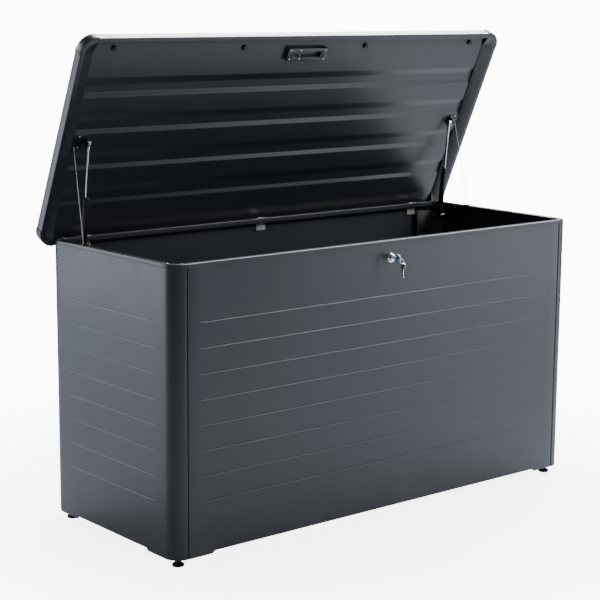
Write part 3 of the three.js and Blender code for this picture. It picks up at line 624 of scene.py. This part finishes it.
edge = 2.0
round_radius = lid_corner - edge
turns = [round_radius * (1 - math.cos(k * math.pi / 16)) for k in range(9)]
rows = {lid_front + edge + t for t in turns} | {lid_rear - edge - t for t in turns}
rows |= {place + b for place in bead_places for b in bend_stations(bead_rear, rear_slope)}
rows |= {place - b for place in bead_places for b in bend_stations(bead_front, front_slope)}
columns = {s * (lid_half - edge - t) for t in turns for s in (-1, 1)}
columns |= {s * b for b in bend_stations(bead_end, end_slope) for s in (-1, 1)}
columns |= {0, 180, -180, 360, -360, 560, -560}
rows, columns = np.array(sorted(rows)), np.array(sorted(columns))
X, Y = np.meshgrid(columns, rows)
lift = np.zeros_like(X)
for place in bead_places:
    climb = np.minimum((place + bead_rear - Y) / rear_slope, (Y - place + bead_front) / front_slope)
    lift = np.maximum(lift, bead_height * eased(np.minimum(climb, (bead_end - np.abs(X)) / end_slope)))
into_corner = np.maximum(lid_front + lid_corner - Y, Y - (lid_rear - lid_corner)).clip(0, round_radius)
room = np.sqrt(round_radius ** 2 - into_corner ** 2)
beyond = np.abs(X) - (lid_half - lid_corner)
X = np.where(beyond > 0, np.sign(X) * (lid_half - lid_corner + beyond * room / round_radius), X)
low_skin = np.stack([X, Y, lid_floor + panel_depth + lift], 2)
high_skin = low_skin + [0, 0, sheet]
lid_panel = build("lid_panel_piece", [shell(high_skin, low_skin)], on_lid=True, sharp_angle=40)
dress(lid_panel, lid_coat_with_painted_shade, "lid", "lid_panel")
print("lid panel", len(lid_panel.data.polygons), "faces")

# %% [markdown]
# ## The lid's edge
# Four folded edges and four corner caps frame the panel: an outer wall with a rounded shoulder, a lip
# below it and a narrow fold on top that grips the sheet. At the sides the lip goes on as a slope up to the
# panel. The caps stand 2 mm proud, so their joints show.
# %% Lid edges and caps
def lid_outline(flange, slope_end=None):
    grip, rise = panel_depth + sheet + 0.4, panel_depth - 0.4
    wall = [(0, 0), (0, 30), (16, 30), (16, grip), (14.8, grip), (14.8, 28.8), (1.2, 28.8), (1.2, 1.2)]
    bend = [1.6, 3.4, 1.4, 0.3, 0.3, 0.5, 2.2, 0.4]
    if slope_end is None:
        return rounded(wall + [(flange, 1.2), (flange, 0)], bend + [0.4, 0.4], 4)
    slope = [(flange - 0.3, 1.2), (slope_end, rise), (slope_end, rise - 1.3), (flange, 0)]
    return rounded(wall + slope, bend + [1.0, 0.3, 0.3, 1.6], 4)


def lid_rail(outline, start, end, along, face):
    rings = []
    for value in (start, end):
        ring = np.zeros((len(outline), 3))
        ring[:, along] = value
        ring[:, 1 - along] = face - np.sign(face) * outline[:, 0]
        ring[:, 2] = lid_floor + outline[:, 1]
        rings.append(ring)
    return loft(rings)


joint_gap, proud, side_lip = 0.8, 2.0, 14
across = lid_half - lid_corner - joint_gap
for name, flange, face in (("front", 16, lid_front), ("rear", 12, lid_rear)):
    lid_side = lid_rail(lid_outline(flange), -across, across, 0, face)
    lid_edge = build(f"lid_edge_{name}_piece", [lid_side], True)
    dress(lid_edge, lid_coat_with_painted_shade, "lid", f"lid_edge_{name}")
for side, sign in (("left", -1), ("right", 1)):
    ends = lid_front + lid_corner + joint_gap, lid_rear - lid_corner - joint_gap
    lid_side = lid_rail(lid_outline(side_lip, lid_corner), *ends, 1, sign * lid_half)
    lid_edge = build(f"lid_edge_{side}_piece", [lid_side], True)
    dress(lid_edge, lid_coat_with_painted_shade, "lid", f"lid_edge_{side}")
for name, (sx, sy, quarter) in corners.items():
    centre = (sx * (lid_half - lid_corner), (lid_front + lid_corner) if sy < 0 else (lid_rear - lid_corner))
    outline = lid_outline(side_lip + proud, lid_corner + proud - 0.3)
    sweep = corner_sweep(outline, lid_corner + proud, centre, lid_floor, quarter)
    cap = build(f"lid_corner_{name}_piece", [sweep], True)
    dress(cap, lid_coat_with_painted_shade, "lid", f"lid_corner_{name}")
print("lid edges", 8)

# %% [markdown]
# ## Hinges
# Three small steel hinges hang in notches of the rear rail. Leaves are softened copies in bright zinc, and
# each pin is turned with a domed head at both ends.
# %% Leaves and pins
pin_radius = 2
for name, x in zip(("left", "centre", "right"), hinge_places):
    dress(softened_copy(f"hinge_body_leaf_{name}", 0.25), zinc, "box", f"hinge_body_leaf_{name}")
    dress(softened_copy(f"hinge_lid_leaf_{name}", 0.25), zinc, "lid", f"hinge_lid_leaf_{name}")
    reach = hinge_half + 1
    dome = [(0, 0), (1.2, 0.2), (pin_radius, 1.0), (pin_radius, 2 * reach - 1), (1.2, 2 * reach - 0.2),
            (0, 2 * reach)]
    pin = build(f"hinge_pin_{name}_piece", [turned(dome, (x - reach, hinge_y, hinge_z), (1, 0, 0), 24)])
    dress(pin, steel, "box", f"hinge_pin_{name}")
print("hinges at", [round(x) for x in hinge_places])

# %% [markdown]
# ## Gas struts
# A strut is a sprayed tube with a rolled shoulder, and a chromed rod that slides into it. Both end in an
# eye on a stud. The tube and the rod are turned about the line between the two pivots.
# %% Struts
strut_foot = np.array(joints["strut_swing_right"]["pos_m"]) * 1000 - [0, stand_back, 0]
rod_way = np.array(joints["strut_stroke_right"]["axis"], float)
rod_top = node_box("strut_rod_right")[1]
strut_length = (rod_top[2] - 8 - strut_foot[2]) / rod_way[2]
print("strut between pivots", round(strut_length, 1), "mm")
tube_profile = [(5.5, 6), (7.4, 7), (8.6, 8.6), (9, 10.5), (9, 148), (8.8, 149), (8.3, 150), (8.3, 152),
                (8.8, 153), (9, 154), (9, 161), (8.6, 163), (7.6, 164.4), (6.2, 165), (4.5, 165),
                (4.4, 164), (4.4, 42)]
rod_profile = [(0, 143), (3.6, 143.3), (4, 144), (4, strut_length - 24), (4.9, strut_length - 23.5),
               (5, strut_length - 23), (5, strut_length - 9), (4.6, strut_length - 6), (0, strut_length - 6)]
eye = [(4.4, -4.8), (7.4, -5), (8, -4.4), (8, 4.4), (7.4, 5), (4.4, 4.8)]
blind_eye = [(0, -5), (7.4, -5), (8, -4.4), (8, 4.4), (7.4, 5), (0, 5)]
for side, sign in (("left", -1), ("right", 1)):
    foot_point = strut_foot * [sign, 1, 1]
    head_point = foot_point + rod_way * strut_length
    tube = [turned(tube_profile, foot_point, rod_way, 40), turned(eye, foot_point, (1, 0, 0), 32, ring=True)]
    rod = [turned(rod_profile, foot_point, rod_way, 32), turned(blind_eye, head_point, (1, 0, 0), 32)]
    dress(build(f"strut_tube_{side}_piece", tube), tube_paint, f"strut_tube_{side}",
          f"strut_cylinder_{side}")
    dress(build(f"strut_rod_{side}_piece", rod), rod_chrome, f"strut_rod_{side}", f"strut_rod_{side}")

# %% [markdown]
# ## Stay cables
# A thin wire rope on each side stops the lid. In Geometry Nodes a straight curve is resampled, given a tilt
# that grows along it, and swept with a six-lobed star, so the strands really twist. The result is made a
# plain mesh.
# %% A node tree with named inputs
def node_tree(name, inputs):
    tree = bpy.data.node_groups.new(name, "GeometryNodeTree")
    tree.interface.new_socket("Geometry", in_out="OUTPUT", socket_type="NodeSocketGeometry")
    tree.interface.new_socket("Geometry", in_out="INPUT", socket_type="NodeSocketGeometry")
    for label, kind in inputs:
        tree.interface.new_socket(label, in_out="INPUT", socket_type=kind)
    return tree, tree.nodes.new("NodeGroupInput"), tree.nodes.new("NodeGroupOutput")


def tree_node(tree, kind, settings=None, sockets=None):
    made = tree.nodes.new(kind)
    for key, value in (settings or {}).items():
        setattr(made, key, value)
    for key, value in (sockets or {}).items():
        if isinstance(value, bpy.types.NodeSocket):
            tree.links.new(value, made.inputs[key])
        else:
            made.inputs[key].default_value = value
    return made


def run_tree(thing, tree, values):
    """Runs a tree on an object, sets its inputs by their sockets' identifiers, and keeps the plain mesh."""
    running = thing.modifiers.new(tree.name, "NODES")
    running.node_group = tree
    for item in tree.interface.items_tree:
        if item.in_out == "INPUT" and item.name in values:
            running[item.identifier] = values[item.name]
    return cleaned(applied(thing))


def point_object(name, points, facing=None, edges=()):
    data = bpy.data.meshes.new(name)
    data.from_pydata([tuple(p) for p in points], list(edges), [])
    if facing is not None:
        attribute = data.attributes.new("facing", "FLOAT_VECTOR", "POINT")
        attribute.data.foreach_set("vector", np.array(facing, np.float32).ravel())
    thing = bpy.data.objects.new(name, data)
    bpy.context.scene.collection.objects.link(thing)
    return thing


# %% The wire rope
rope, given, result = node_tree("twisted_wire_rope", [
    ("Radius", "NodeSocketFloat"), ("Turns", "NodeSocketFloat"), ("Points", "NodeSocketInt"),
    ("Metal", "NodeSocketMaterial")])
line = tree_node(rope, "GeometryNodeMeshToCurve", {}, {"Mesh": given.outputs["Geometry"]})
fine_line = tree_node(rope, "GeometryNodeResampleCurve", {}, {
    "Curve": line.outputs[0], "Count": given.outputs["Points"]})
share = tree_node(rope, "GeometryNodeSplineParameter")
turn = tree_node(rope, "ShaderNodeMath", {"operation": "MULTIPLY"}, {
    0: share.outputs["Factor"], 1: given.outputs["Turns"]})
tilt = tree_node(rope, "ShaderNodeMath", {"operation": "MULTIPLY"}, {0: turn.outputs[0], 1: 2 * math.pi})
twisted = tree_node(rope, "GeometryNodeSetCurveTilt", {}, {
    "Curve": fine_line.outputs[0], "Tilt": tilt.outputs[0]})
hollow = tree_node(rope, "ShaderNodeMath", {"operation": "MULTIPLY"}, {0: given.outputs["Radius"], 1: 0.78})
strands = tree_node(rope, "GeometryNodeCurveStar", {}, {
    "Points": 6, "Outer Radius": given.outputs["Radius"], "Inner Radius": hollow.outputs[0]})
swept = tree_node(rope, "GeometryNodeCurveToMesh", {}, {
    "Curve": twisted.outputs[0], "Profile Curve": strands.outputs["Curve"], "Fill Caps": True})
whole = tree_node(rope, "GeometryNodeRealizeInstances", {}, {0: swept.outputs[0]})
coloured = tree_node(rope, "GeometryNodeSetMaterial", {}, {
    "Geometry": whole.outputs[0], "Material": given.outputs["Metal"]})
rope.links.new(coloured.outputs[0], result.inputs[0])

cable_low = np.array([half_length - 8, half_depth - 170, rim_height + 3])
cable_top_closed = np.array([lid_half - 53, 4.0, lid_floor + panel_depth - 3.2])
eye_reach = 0.0012
for side, sign in (("left", -1), ("right", 1)):
    low = in_model(cable_low * [sign, 1, 1])
    high = in_model(cable_top_closed * [sign, 1, 1], on_lid=True)
    way = (high - low) / np.linalg.norm(high - low)
    low, high = low + way * eye_reach, high - way * eye_reach
    cable = point_object(f"stay_cable_{side}_piece", [low, high], edges=[(0, 1)])
    cable = run_tree(cable, rope, {"Radius": 0.001, "Turns": 26.0, "Points": 220, "Metal": steel})
    cable.name = f"stay_cable_{side}_piece"
    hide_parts(f"stay_cable_{side}")
    length = float(np.linalg.norm(high - low))
    tuple(low)
    tuple(low + way * length * 0.3)
    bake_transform(cable)
    route = [tuple(low + way * length * k / 20) for k in range(21)]
    tuple(low)
    print("stay cable", side, round(length, 4), "m,", len(cable.data.polygons), "faces")

# %% [markdown]
# ## Lock
# The housing is turned from one piece: a thin rosette on the face, a stepped collar, and a barrel through
# the sheet. The plug carries the hook behind the panel and is a softened copy of its node.
# %% Housing, nut and plug
housing = [(6.6, -24), (10.7, -24), (10.7, 0.3), (14.3, 0.3), (14.5, 0.6), (14.5, 2.0), (14.1, 2.8),
           (13.2, 3.2), (11.6, 3.3), (11.0, 3.0), (10.5, 3.2), (10.2, 4.2), (10.0, 5.0), (10.0, 9.6),
           (9.6, 10.6), (8.8, 11.1), (7.8, 11.1), (7.2, 10.5), (6.6, 10.2)]
lock_point = (0, -half_depth, lock_z)
dress(build("lock_housing_piece", [turned(housing, lock_point, (0, -1, 0), 64, ring=True)]), chrome, "box",
      "lock_housing")
dress(softened_copy("lock_nut", 0.4), zinc, "box", "lock_nut")
dress(softened_copy("lock_plug", 0.2), chrome, "lock_plug", "lock_plug")

# %% [markdown]
# ## Keys
# A key is a flat outline with teeth cut into one edge. Drawn as a polygon and given a thickness and a fine
# bevel, it reads as a stamped blade. A hole takes the ring. The key in the lock has a raised round rim
# on its bow, with a blue plastic insert set in it.
# %% Key outlines
def key_outline(radius, neck, blade_half, start, length, teeth):
    """A round bow at the origin and a blade along +u; teeth are cut into the lower edge."""
    open_half = math.asin(neck / radius)
    angles = np.linspace(open_half, 2 * math.pi - open_half, 36)
    bow = [(radius * math.cos(a), radius * math.sin(a)) for a in angles]
    lower = [(start, -neck), (start + 1.5, -blade_half)]
    step = (length - start - 5) / len(teeth)
    for i, depth in enumerate(teeth):
        at = start + 2.5 + i * step
        lower += [(at, -blade_half), (at + step * 0.3, -blade_half + depth),
                  (at + step * 0.6, -blade_half + depth)]
    return bow + lower + [(length - 2, -blade_half), (length, -blade_half + 2), (length, blade_half - 2),
                          (length - 1.5, blade_half), (start + 1.5, blade_half), (start, neck)]


def flat_key(name, outline, centre, along, hole, hole_radius, half=1.05):
    """The outline lies in the YZ plane, with u along the given direction."""
    u, v = np.array(along, float), np.array([0, -along[2], along[1]], float)
    rings = [[np.array(centre) + [x, 0, 0] + u * p + v * q for p, q in outline] for x in (-half, half)]
    key = bevelled(build(name, [loft(rings)]), 0.25)
    return cut(key, [turned([(hole_radius, -4), (hole_radius, 4)], hole, (1, 0, 0), 24)])


bow_point = (0, -half_depth - 30, lock_z)
ring_hole = (0, -half_depth - 38.4, lock_z)
teeth = [1.2, 2.2, 0.8, 1.8, 1.4]
main_key = flat_key("key_piece", key_outline(11.5, 4.5, 3.6, 18.0, 42.0, teeth), bow_point, (0, 1, 0),
                    ring_hole, 1.9, 0.85)
dress(main_key, key_steel, "key", "key")
insert = [(0, -1.9), (5.6, -1.8), (6.8, -1.4), (7.1, -1.0), (7.1, 1.0), (6.8, 1.4), (5.6, 1.8), (0, 1.9)]
dress(build("key_insert_piece", [turned(insert, bow_point, (1, 0, 0), 40)]), key_blue, "key")
bow_ring = rounded([(7.0, -1.7), (11.6, -1.7), (11.6, 1.7), (7.0, 1.7)], [0.9, 1.5, 1.5, 0.9], 5)
dress(build("key_bow_ring_piece", [turned(bow_ring, bow_point, (1, 0, 0), 48, ring=True)]), bow_nickel,
      "key")
centre_dot = [(0, -2.2), (1.9, -2.1), (2.3, -1.7), (2.3, 1.7), (1.9, 2.1), (0, 2.2)]
dress(build("key_insert_centre_piece", [turned(centre_dot, bow_point, (1, 0, 0), 28)]), key_dark, "key")

# %% [markdown]
# ## Key ring and spare key
# A split ring is a wire that goes round twice. One closed curve with a small sideways step gives both turns,
# and a tube is swept along it. The spare key hangs from the lowest point of the ring.
# %% Split ring and spare
def tube(points, radius, sides=8):
    points = np.array(points, float)
    forward = np.gradient(points, axis=0)
    forward /= np.linalg.norm(forward, axis=1)[:, None]
    rings = []
    side_way = np.array([1.0, 0, 0]) if abs(forward[0][0]) < 0.8 else np.array([0, 1.0, 0])
    for point, way in zip(points, forward):
        side_way = side_way - way * (side_way @ way)
        side_way /= np.linalg.norm(side_way)
        up = np.cross(way, side_way)
        rings.append([point + radius * (math.cos(a) * side_way + math.sin(a) * up)
                      for a in np.arange(sides) * 2 * math.pi / sides])
    return loft(rings)


lean = math.radians(50)
ring_radius, ring_steps = 9, 96
down = np.array([0, -math.sin(lean), -math.cos(lean)])
ring_centre = np.array(ring_hole) + down * ring_radius
flat_way = np.cross(down, [1.0, 0, 0])
wire = []
for k in range(ring_steps + 1):
    angle = k / ring_steps * 4 * math.pi
    out = -down * math.cos(angle) + np.array([1.0, 0, 0]) * math.sin(angle)
    wire.append(ring_centre + out * ring_radius + flat_way * 0.42 * math.cos(angle / 2))
dress(build("key_ring_piece", [tube(wire, 0.5)], sharp_angle=60), bow_nickel, "key_ring", "key_ring")
ring_low = ring_centre + down * ring_radius
spare_centre = ring_low + [0, 0, -9.5 + 2.4]
spare = flat_key("spare_key_piece", key_outline(9.5, 3.6, 3.2, 11.0, 37.0, teeth), spare_centre, (0, 0, -1),
                 ring_low, 1.6, 0.95)
dress(spare, key_steel, "spare_key", "spare_key")
print("ring low point", ring_low.round(1))

# %% [markdown]
# ## Feet and plugs
# Each foot is a turned rubber pad with a groove round it, a neck and a threaded stem whose turns show as
# fine rings. The lid's assembly holes are closed by small domed plugs.
# %% Feet and plugs
thread = [(5.0 - 0.45 * (k % 2), 16.2 + k * 0.6) for k in range(46)]
foot_profile = [(0, 0), (14.6, 0), (16.2, 0.5), (17, 1.8), (17, 3.2), (16.5, 3.7), (16.5, 4.3),
                (17, 4.8), (17, 6.2), (16.4, 7.4), (14.8, 8.4), (12.6, 9), (9.4, 9.2), (9, 10),
                (9, 15.2), (8.4, 16), (5.0, 16)]
foot_inset = 38
foot_profile += thread + [(4.0, 45.6), (0, 46)]
for name, (sx, sy, _) in corners.items():
    point = (sx * (half_length - foot_inset), sy * (half_depth - foot_inset), 0)
    foot = build(f"foot_{name}_piece", [turned(foot_profile, point, (0, 0, 1), 48)])
    dress(foot, rubber, f"foot_{name}", f"foot_{name}")
plug_profile = [(0, 0), (8, 0), (8, 4.6), (7.4, 5.8), (6.2, 6.3), (5.4, 6.1), (5.0, 5.4), (3.6, 5.4),
                (3.0, 6.6), (0, 7)]
for i in range(4):
    low, high = node_box(f"lid_plug_{i + 1}")
    x = (low[0] + high[0]) / 2
    y = lid_front + (38 if abs(x) > 400 else 43)
    plug = turned(plug_profile, (x, y, lid_floor + 17.1), (0, 0, -1), 32)
    plug = build(f"lid_plug_{i + 1}_piece", [plug], True)
    dress(plug, plug_plastic, "lid", f"lid_plug_{i + 1}")

# %% [markdown]
# ## Screws
# Small pan-head screws with a cross recess hold the strike, the caps, the hinges and the brackets. One
# Geometry Nodes tree makes a head once, cuts the cross, and puts a copy on every point of a cloud, turned
# to the way that the point faces. One cloud for each body gives one mesh for each body.
# %% The screw tree
screws, given, result = node_tree("pan_head_screws", [
    ("Head Radius", "NodeSocketFloat"), ("Metal", "NodeSocketMaterial")])


def times(socket, factor):
    return tree_node(screws, "ShaderNodeMath", {"operation": "MULTIPLY"}, {0: socket, 1: factor}).outputs[0]


radius = given.outputs["Head Radius"]
ball = tree_node(screws, "GeometryNodeMeshUVSphere", {}, {"Segments": 20, "Rings": 12, "Radius": radius})
flat = tree_node(screws, "GeometryNodeTransform", {}, {0: ball.outputs[0], "Scale": (1, 1, 0.55)})
slots = []
for length, width in ((1.1, 0.26), (0.26, 1.1)):
    size = tree_node(screws, "ShaderNodeCombineXYZ", {}, {
        0: times(radius, length), 1: times(radius, width), 2: times(radius, 0.5)})
    bar = tree_node(screws, "GeometryNodeMeshCube", {}, {"Size": size.outputs[0]})
    lift_by = tree_node(screws, "ShaderNodeCombineXYZ", {}, {2: times(radius, 0.62)})
    slots.append(tree_node(screws, "GeometryNodeTransform", {}, {
        0: bar.outputs[0], "Translation": lift_by.outputs[0]}))
head = tree_node(screws, "GeometryNodeMeshBoolean", {"operation": "DIFFERENCE", "solver": "EXACT"},
                 {0: flat.outputs[0]})
for slot in slots:
    screws.links.new(slot.outputs[0], head.inputs[1])
facing = tree_node(screws, "GeometryNodeInputNamedAttribute", {"data_type": "FLOAT_VECTOR"},
                   {"Name": "facing"})
aim = tree_node(screws, "FunctionNodeAlignRotationToVector", {"axis": "Z"}, {"Vector": facing.outputs[0]})
copies = tree_node(screws, "GeometryNodeInstanceOnPoints", {}, {
    "Points": given.outputs["Geometry"], "Instance": head.outputs[0], "Rotation": aim.outputs[0]})
whole = tree_node(screws, "GeometryNodeRealizeInstances", {}, {0: copies.outputs[0]})
coloured = tree_node(screws, "GeometryNodeSetMaterial", {}, {
    "Geometry": whole.outputs[0], "Material": given.outputs["Metal"]})
screws.links.new(coloured.outputs[0], result.inputs[0])


def screw_set(name, places, on_lid, radius, finish, body):
    """places holds pairs: a point, and the way that the head faces."""
    points = in_model(np.array([p for p, _ in places], float), on_lid)
    ends = in_model(np.array([np.array(p) + f for p, f in places], float), on_lid)
    heads = point_object(name, points, (ends - points) * 1000)
    heads = run_tree(heads, screws, {"Head Radius": radius / 1000, "Metal": finish})
    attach(heads, body)
    print(name, len(places), "heads,", len(heads.data.polygons), "faces")


# %% Where the screws sit
down_way, up_way = (0, 0, -1), (0, 0, 1)
strike_low, strike_y = lid_floor + 3.8, lid_front + 44
cap_screw_radius, rim_screw_radius, bracket_x = 43, 36, 733
cap_places = []
lid_places = [((x, strike_y + y, strike_low), down_way) for x in (-66, -28, 67) for y in (5.5, 34)]
for name, (sx, sy, quarter) in corners.items():
    cx, cy = sx * (lid_half - lid_corner), (lid_front + lid_corner) if sy < 0 else (lid_rear - lid_corner)
    for share in (0.16, 0.5, 0.84):
        angle = (quarter + share) * math.pi / 2
        cap_places.append(((cx + cap_screw_radius * math.cos(angle), cy + cap_screw_radius * math.sin(angle),
                            lid_floor), down_way))
for sign in (-1, 1):
    lid_places += [((sign * bracket_x, y, lid_floor + panel_depth - 2.9), down_way) for y in (-24, 10)]
screw_set("lid_screws", lid_places, True, 2.3, zinc, "lid")
screw_set("lid_cap_screws", cap_places, True, 1.9, black_zinc, "lid")
box_places = []
for name, (sx, sy, quarter) in corners.items():
    cx, cy = sx * seam, sy * (half_depth - corner_radius)
    for share in (0.14, 0.86):
        angle = (quarter + share) * math.pi / 2
        box_places.append(((cx + rim_screw_radius * math.cos(angle), cy + rim_screw_radius * math.sin(angle),
                            rim_height + 0.2), up_way))
for sign in (-1, 1):
    inner_face = half_length - 20 - 0.4 - 2.5
    box_places += [((sign * inner_face, y, rim_height - 9.5), (-sign, 0, 0)) for y in (179, 236)]
for x in hinge_places:
    box_places += [((x + dx, half_depth - 6, rim_height - 30), (0, -1, 0)) for dx in (-10, 10)]
screw_set("box_screws", box_places, False, 2.1, zinc, "box")

# %% [markdown]
# ## Floor, light and camera
# The box stands on a plain pale floor that fades into a white surround. Broad soft lights shape the satin
# coat: one overhead, two behind on the left and two on the right, one of each pair high and one low. The
# side that faces the viewer stays unlit, so the round corner falls dark between two paler faces.
# %% Floor
def floor_sheet(name, height):
    bpy.ops.mesh.primitive_grid_add(size=9.0, x_subdivisions=8, y_subdivisions=8, location=(0, 0, height))
    sheet_piece = bpy.context.active_object
    sheet_piece.name = name
    return sheet_piece


pale = Finish("pale_floor", Roughness=0.7)
spread = pale.node("ShaderNodeVectorMath", {"operation": "LENGTH"}, {0: pale.place()}, "Value")
pale.drive("Base Color", pale.mix(pale.noise(3.0) * 0.2, (0.86, 0.86, 0.86, 1), (0.80, 0.80, 0.80, 1)))
glow = pale.tree.nodes.new("ShaderNodeEmission")
glow.inputs["Strength"].default_value = 12.0
blend = pale.tree.nodes.new("ShaderNodeMixShader")
pale.plug(pale.between(spread, 0.7, 1.9, 0.45, 1.0), blend.inputs[0])
pale.tree.links.new(pale.surface.outputs[0], blend.inputs[1])
pale.tree.links.new(glow.outputs[0], blend.inputs[2])
pale.tree.links.new(blend.outputs[0], pale.tree.nodes["Material Output"].inputs["Surface"])
seen_floor = floor_sheet("studio_floor", 0)
seen_floor.data.materials.append(pale.material)
seen_floor.visible_diffuse = seen_floor.visible_glossy = seen_floor.visible_shadow = False
grey = Finish("grey_floor", Roughness=0.8)
grey.drive("Base Color", grey.mix(grey.noise(3.0) * 0.2, (0.42, 0.44, 0.46, 1), (0.38, 0.40, 0.42, 1)))
bounce_floor = floor_sheet("studio_floor_bounce", -0.002)
bounce_floor.data.materials.append(grey.material)
bounce_floor.visible_camera = False

# %% Surround and soft lights
world = bpy.data.worlds.new("studio")
bpy.context.scene.world = world
world.use_nodes = True
nodes, links = world.node_tree.nodes, world.node_tree.links
seen = nodes.new("ShaderNodeBackground")
seen.inputs["Color"].default_value, seen.inputs["Strength"].default_value = (1, 1, 1, 1), 12.0
fill = nodes["Background"]
fill.inputs["Color"].default_value, fill.inputs["Strength"].default_value = (0.72, 0.84, 1.0, 1), 0.12
path = nodes.new("ShaderNodeLightPath")
choose = nodes.new("ShaderNodeMixShader")
links.new(path.outputs["Is Camera Ray"], choose.inputs[0])
links.new(fill.outputs[0], choose.inputs[1])
links.new(seen.outputs[0], choose.inputs[2])
links.new(choose.outputs[0], nodes["World Output"].inputs["Surface"])


def soft_light(name, place, target, width, height, power, tint=(1, 1, 1)):
    data = bpy.data.lights.new(name, "AREA")
    data.shape, data.size, data.size_y, data.energy, data.color = "RECTANGLE", width, height, power, tint
    lamp = bpy.data.objects.new(name, data)
    bpy.context.scene.collection.objects.link(lamp)
    away = np.array(place, float) - np.array(target, float)
    away /= np.linalg.norm(away)
    right = np.cross([0, 0, 1.0], away)
    right /= np.linalg.norm(right)
    turn = Matrix([[*right], [*np.cross(away, right)], [*away]]).transposed().to_4x4()
    turn.translation = place
    lamp.matrix_world = turn
    lamp.visible_camera = False


soft_light("overhead", (1.7, 0.9, 3.3), (0.1, 0.1, 0.8), 2.8, 2.2, 560, (0.93, 0.96, 1.0))
soft_light("high_right", (2.2, -1.9, 2.6), (0, -0.3, 0.6), 2.0, 1.2, 110, (1.0, 0.98, 0.95))
soft_light("high_left", (-1.9, 2.6, 2.35), (-0.6, 0, 0.7), 1.8, 1.2, 70, (1.0, 0.99, 0.98))
soft_light("left_wall", (-2.9, 2.2, 0.72), (0, 0, 0.6), 2.6, 1.3, 39, (0.84, 0.91, 1.0))
soft_light("right_wall", (3.1, -2.3, 0.48), (0, 0, 0.45), 2.4, 0.9, 20, (0.88, 0.93, 1.0))

# %% Camera
camera_azimuth, camera_elevation, camera_roll = 0.690, 0.183, 0.007
look = np.array([math.sin(camera_azimuth) * math.cos(camera_elevation),
                 math.cos(camera_azimuth) * math.cos(camera_elevation), -math.sin(camera_elevation)])
level = np.array([math.cos(camera_azimuth), -math.sin(camera_azimuth), 0])
rise = np.cross(level, look)
c, s = math.cos(camera_roll), math.sin(camera_roll)
camera_right, camera_up = c * level + s * rise, c * rise - s * level
camera_data = bpy.data.cameras.new("viewer")
camera_data.lens, camera_data.sensor_width = 98.0, 36.0
camera = bpy.data.objects.new("viewer", camera_data)
bpy.context.scene.collection.objects.link(camera)
placing = Matrix([[*camera_right], [*camera_up], [*(-look)]]).transposed().to_4x4()
placing.translation = in_model([-3158.4, -3723.6, 1513.1])
camera.matrix_world = placing
bpy.context.scene.camera = camera
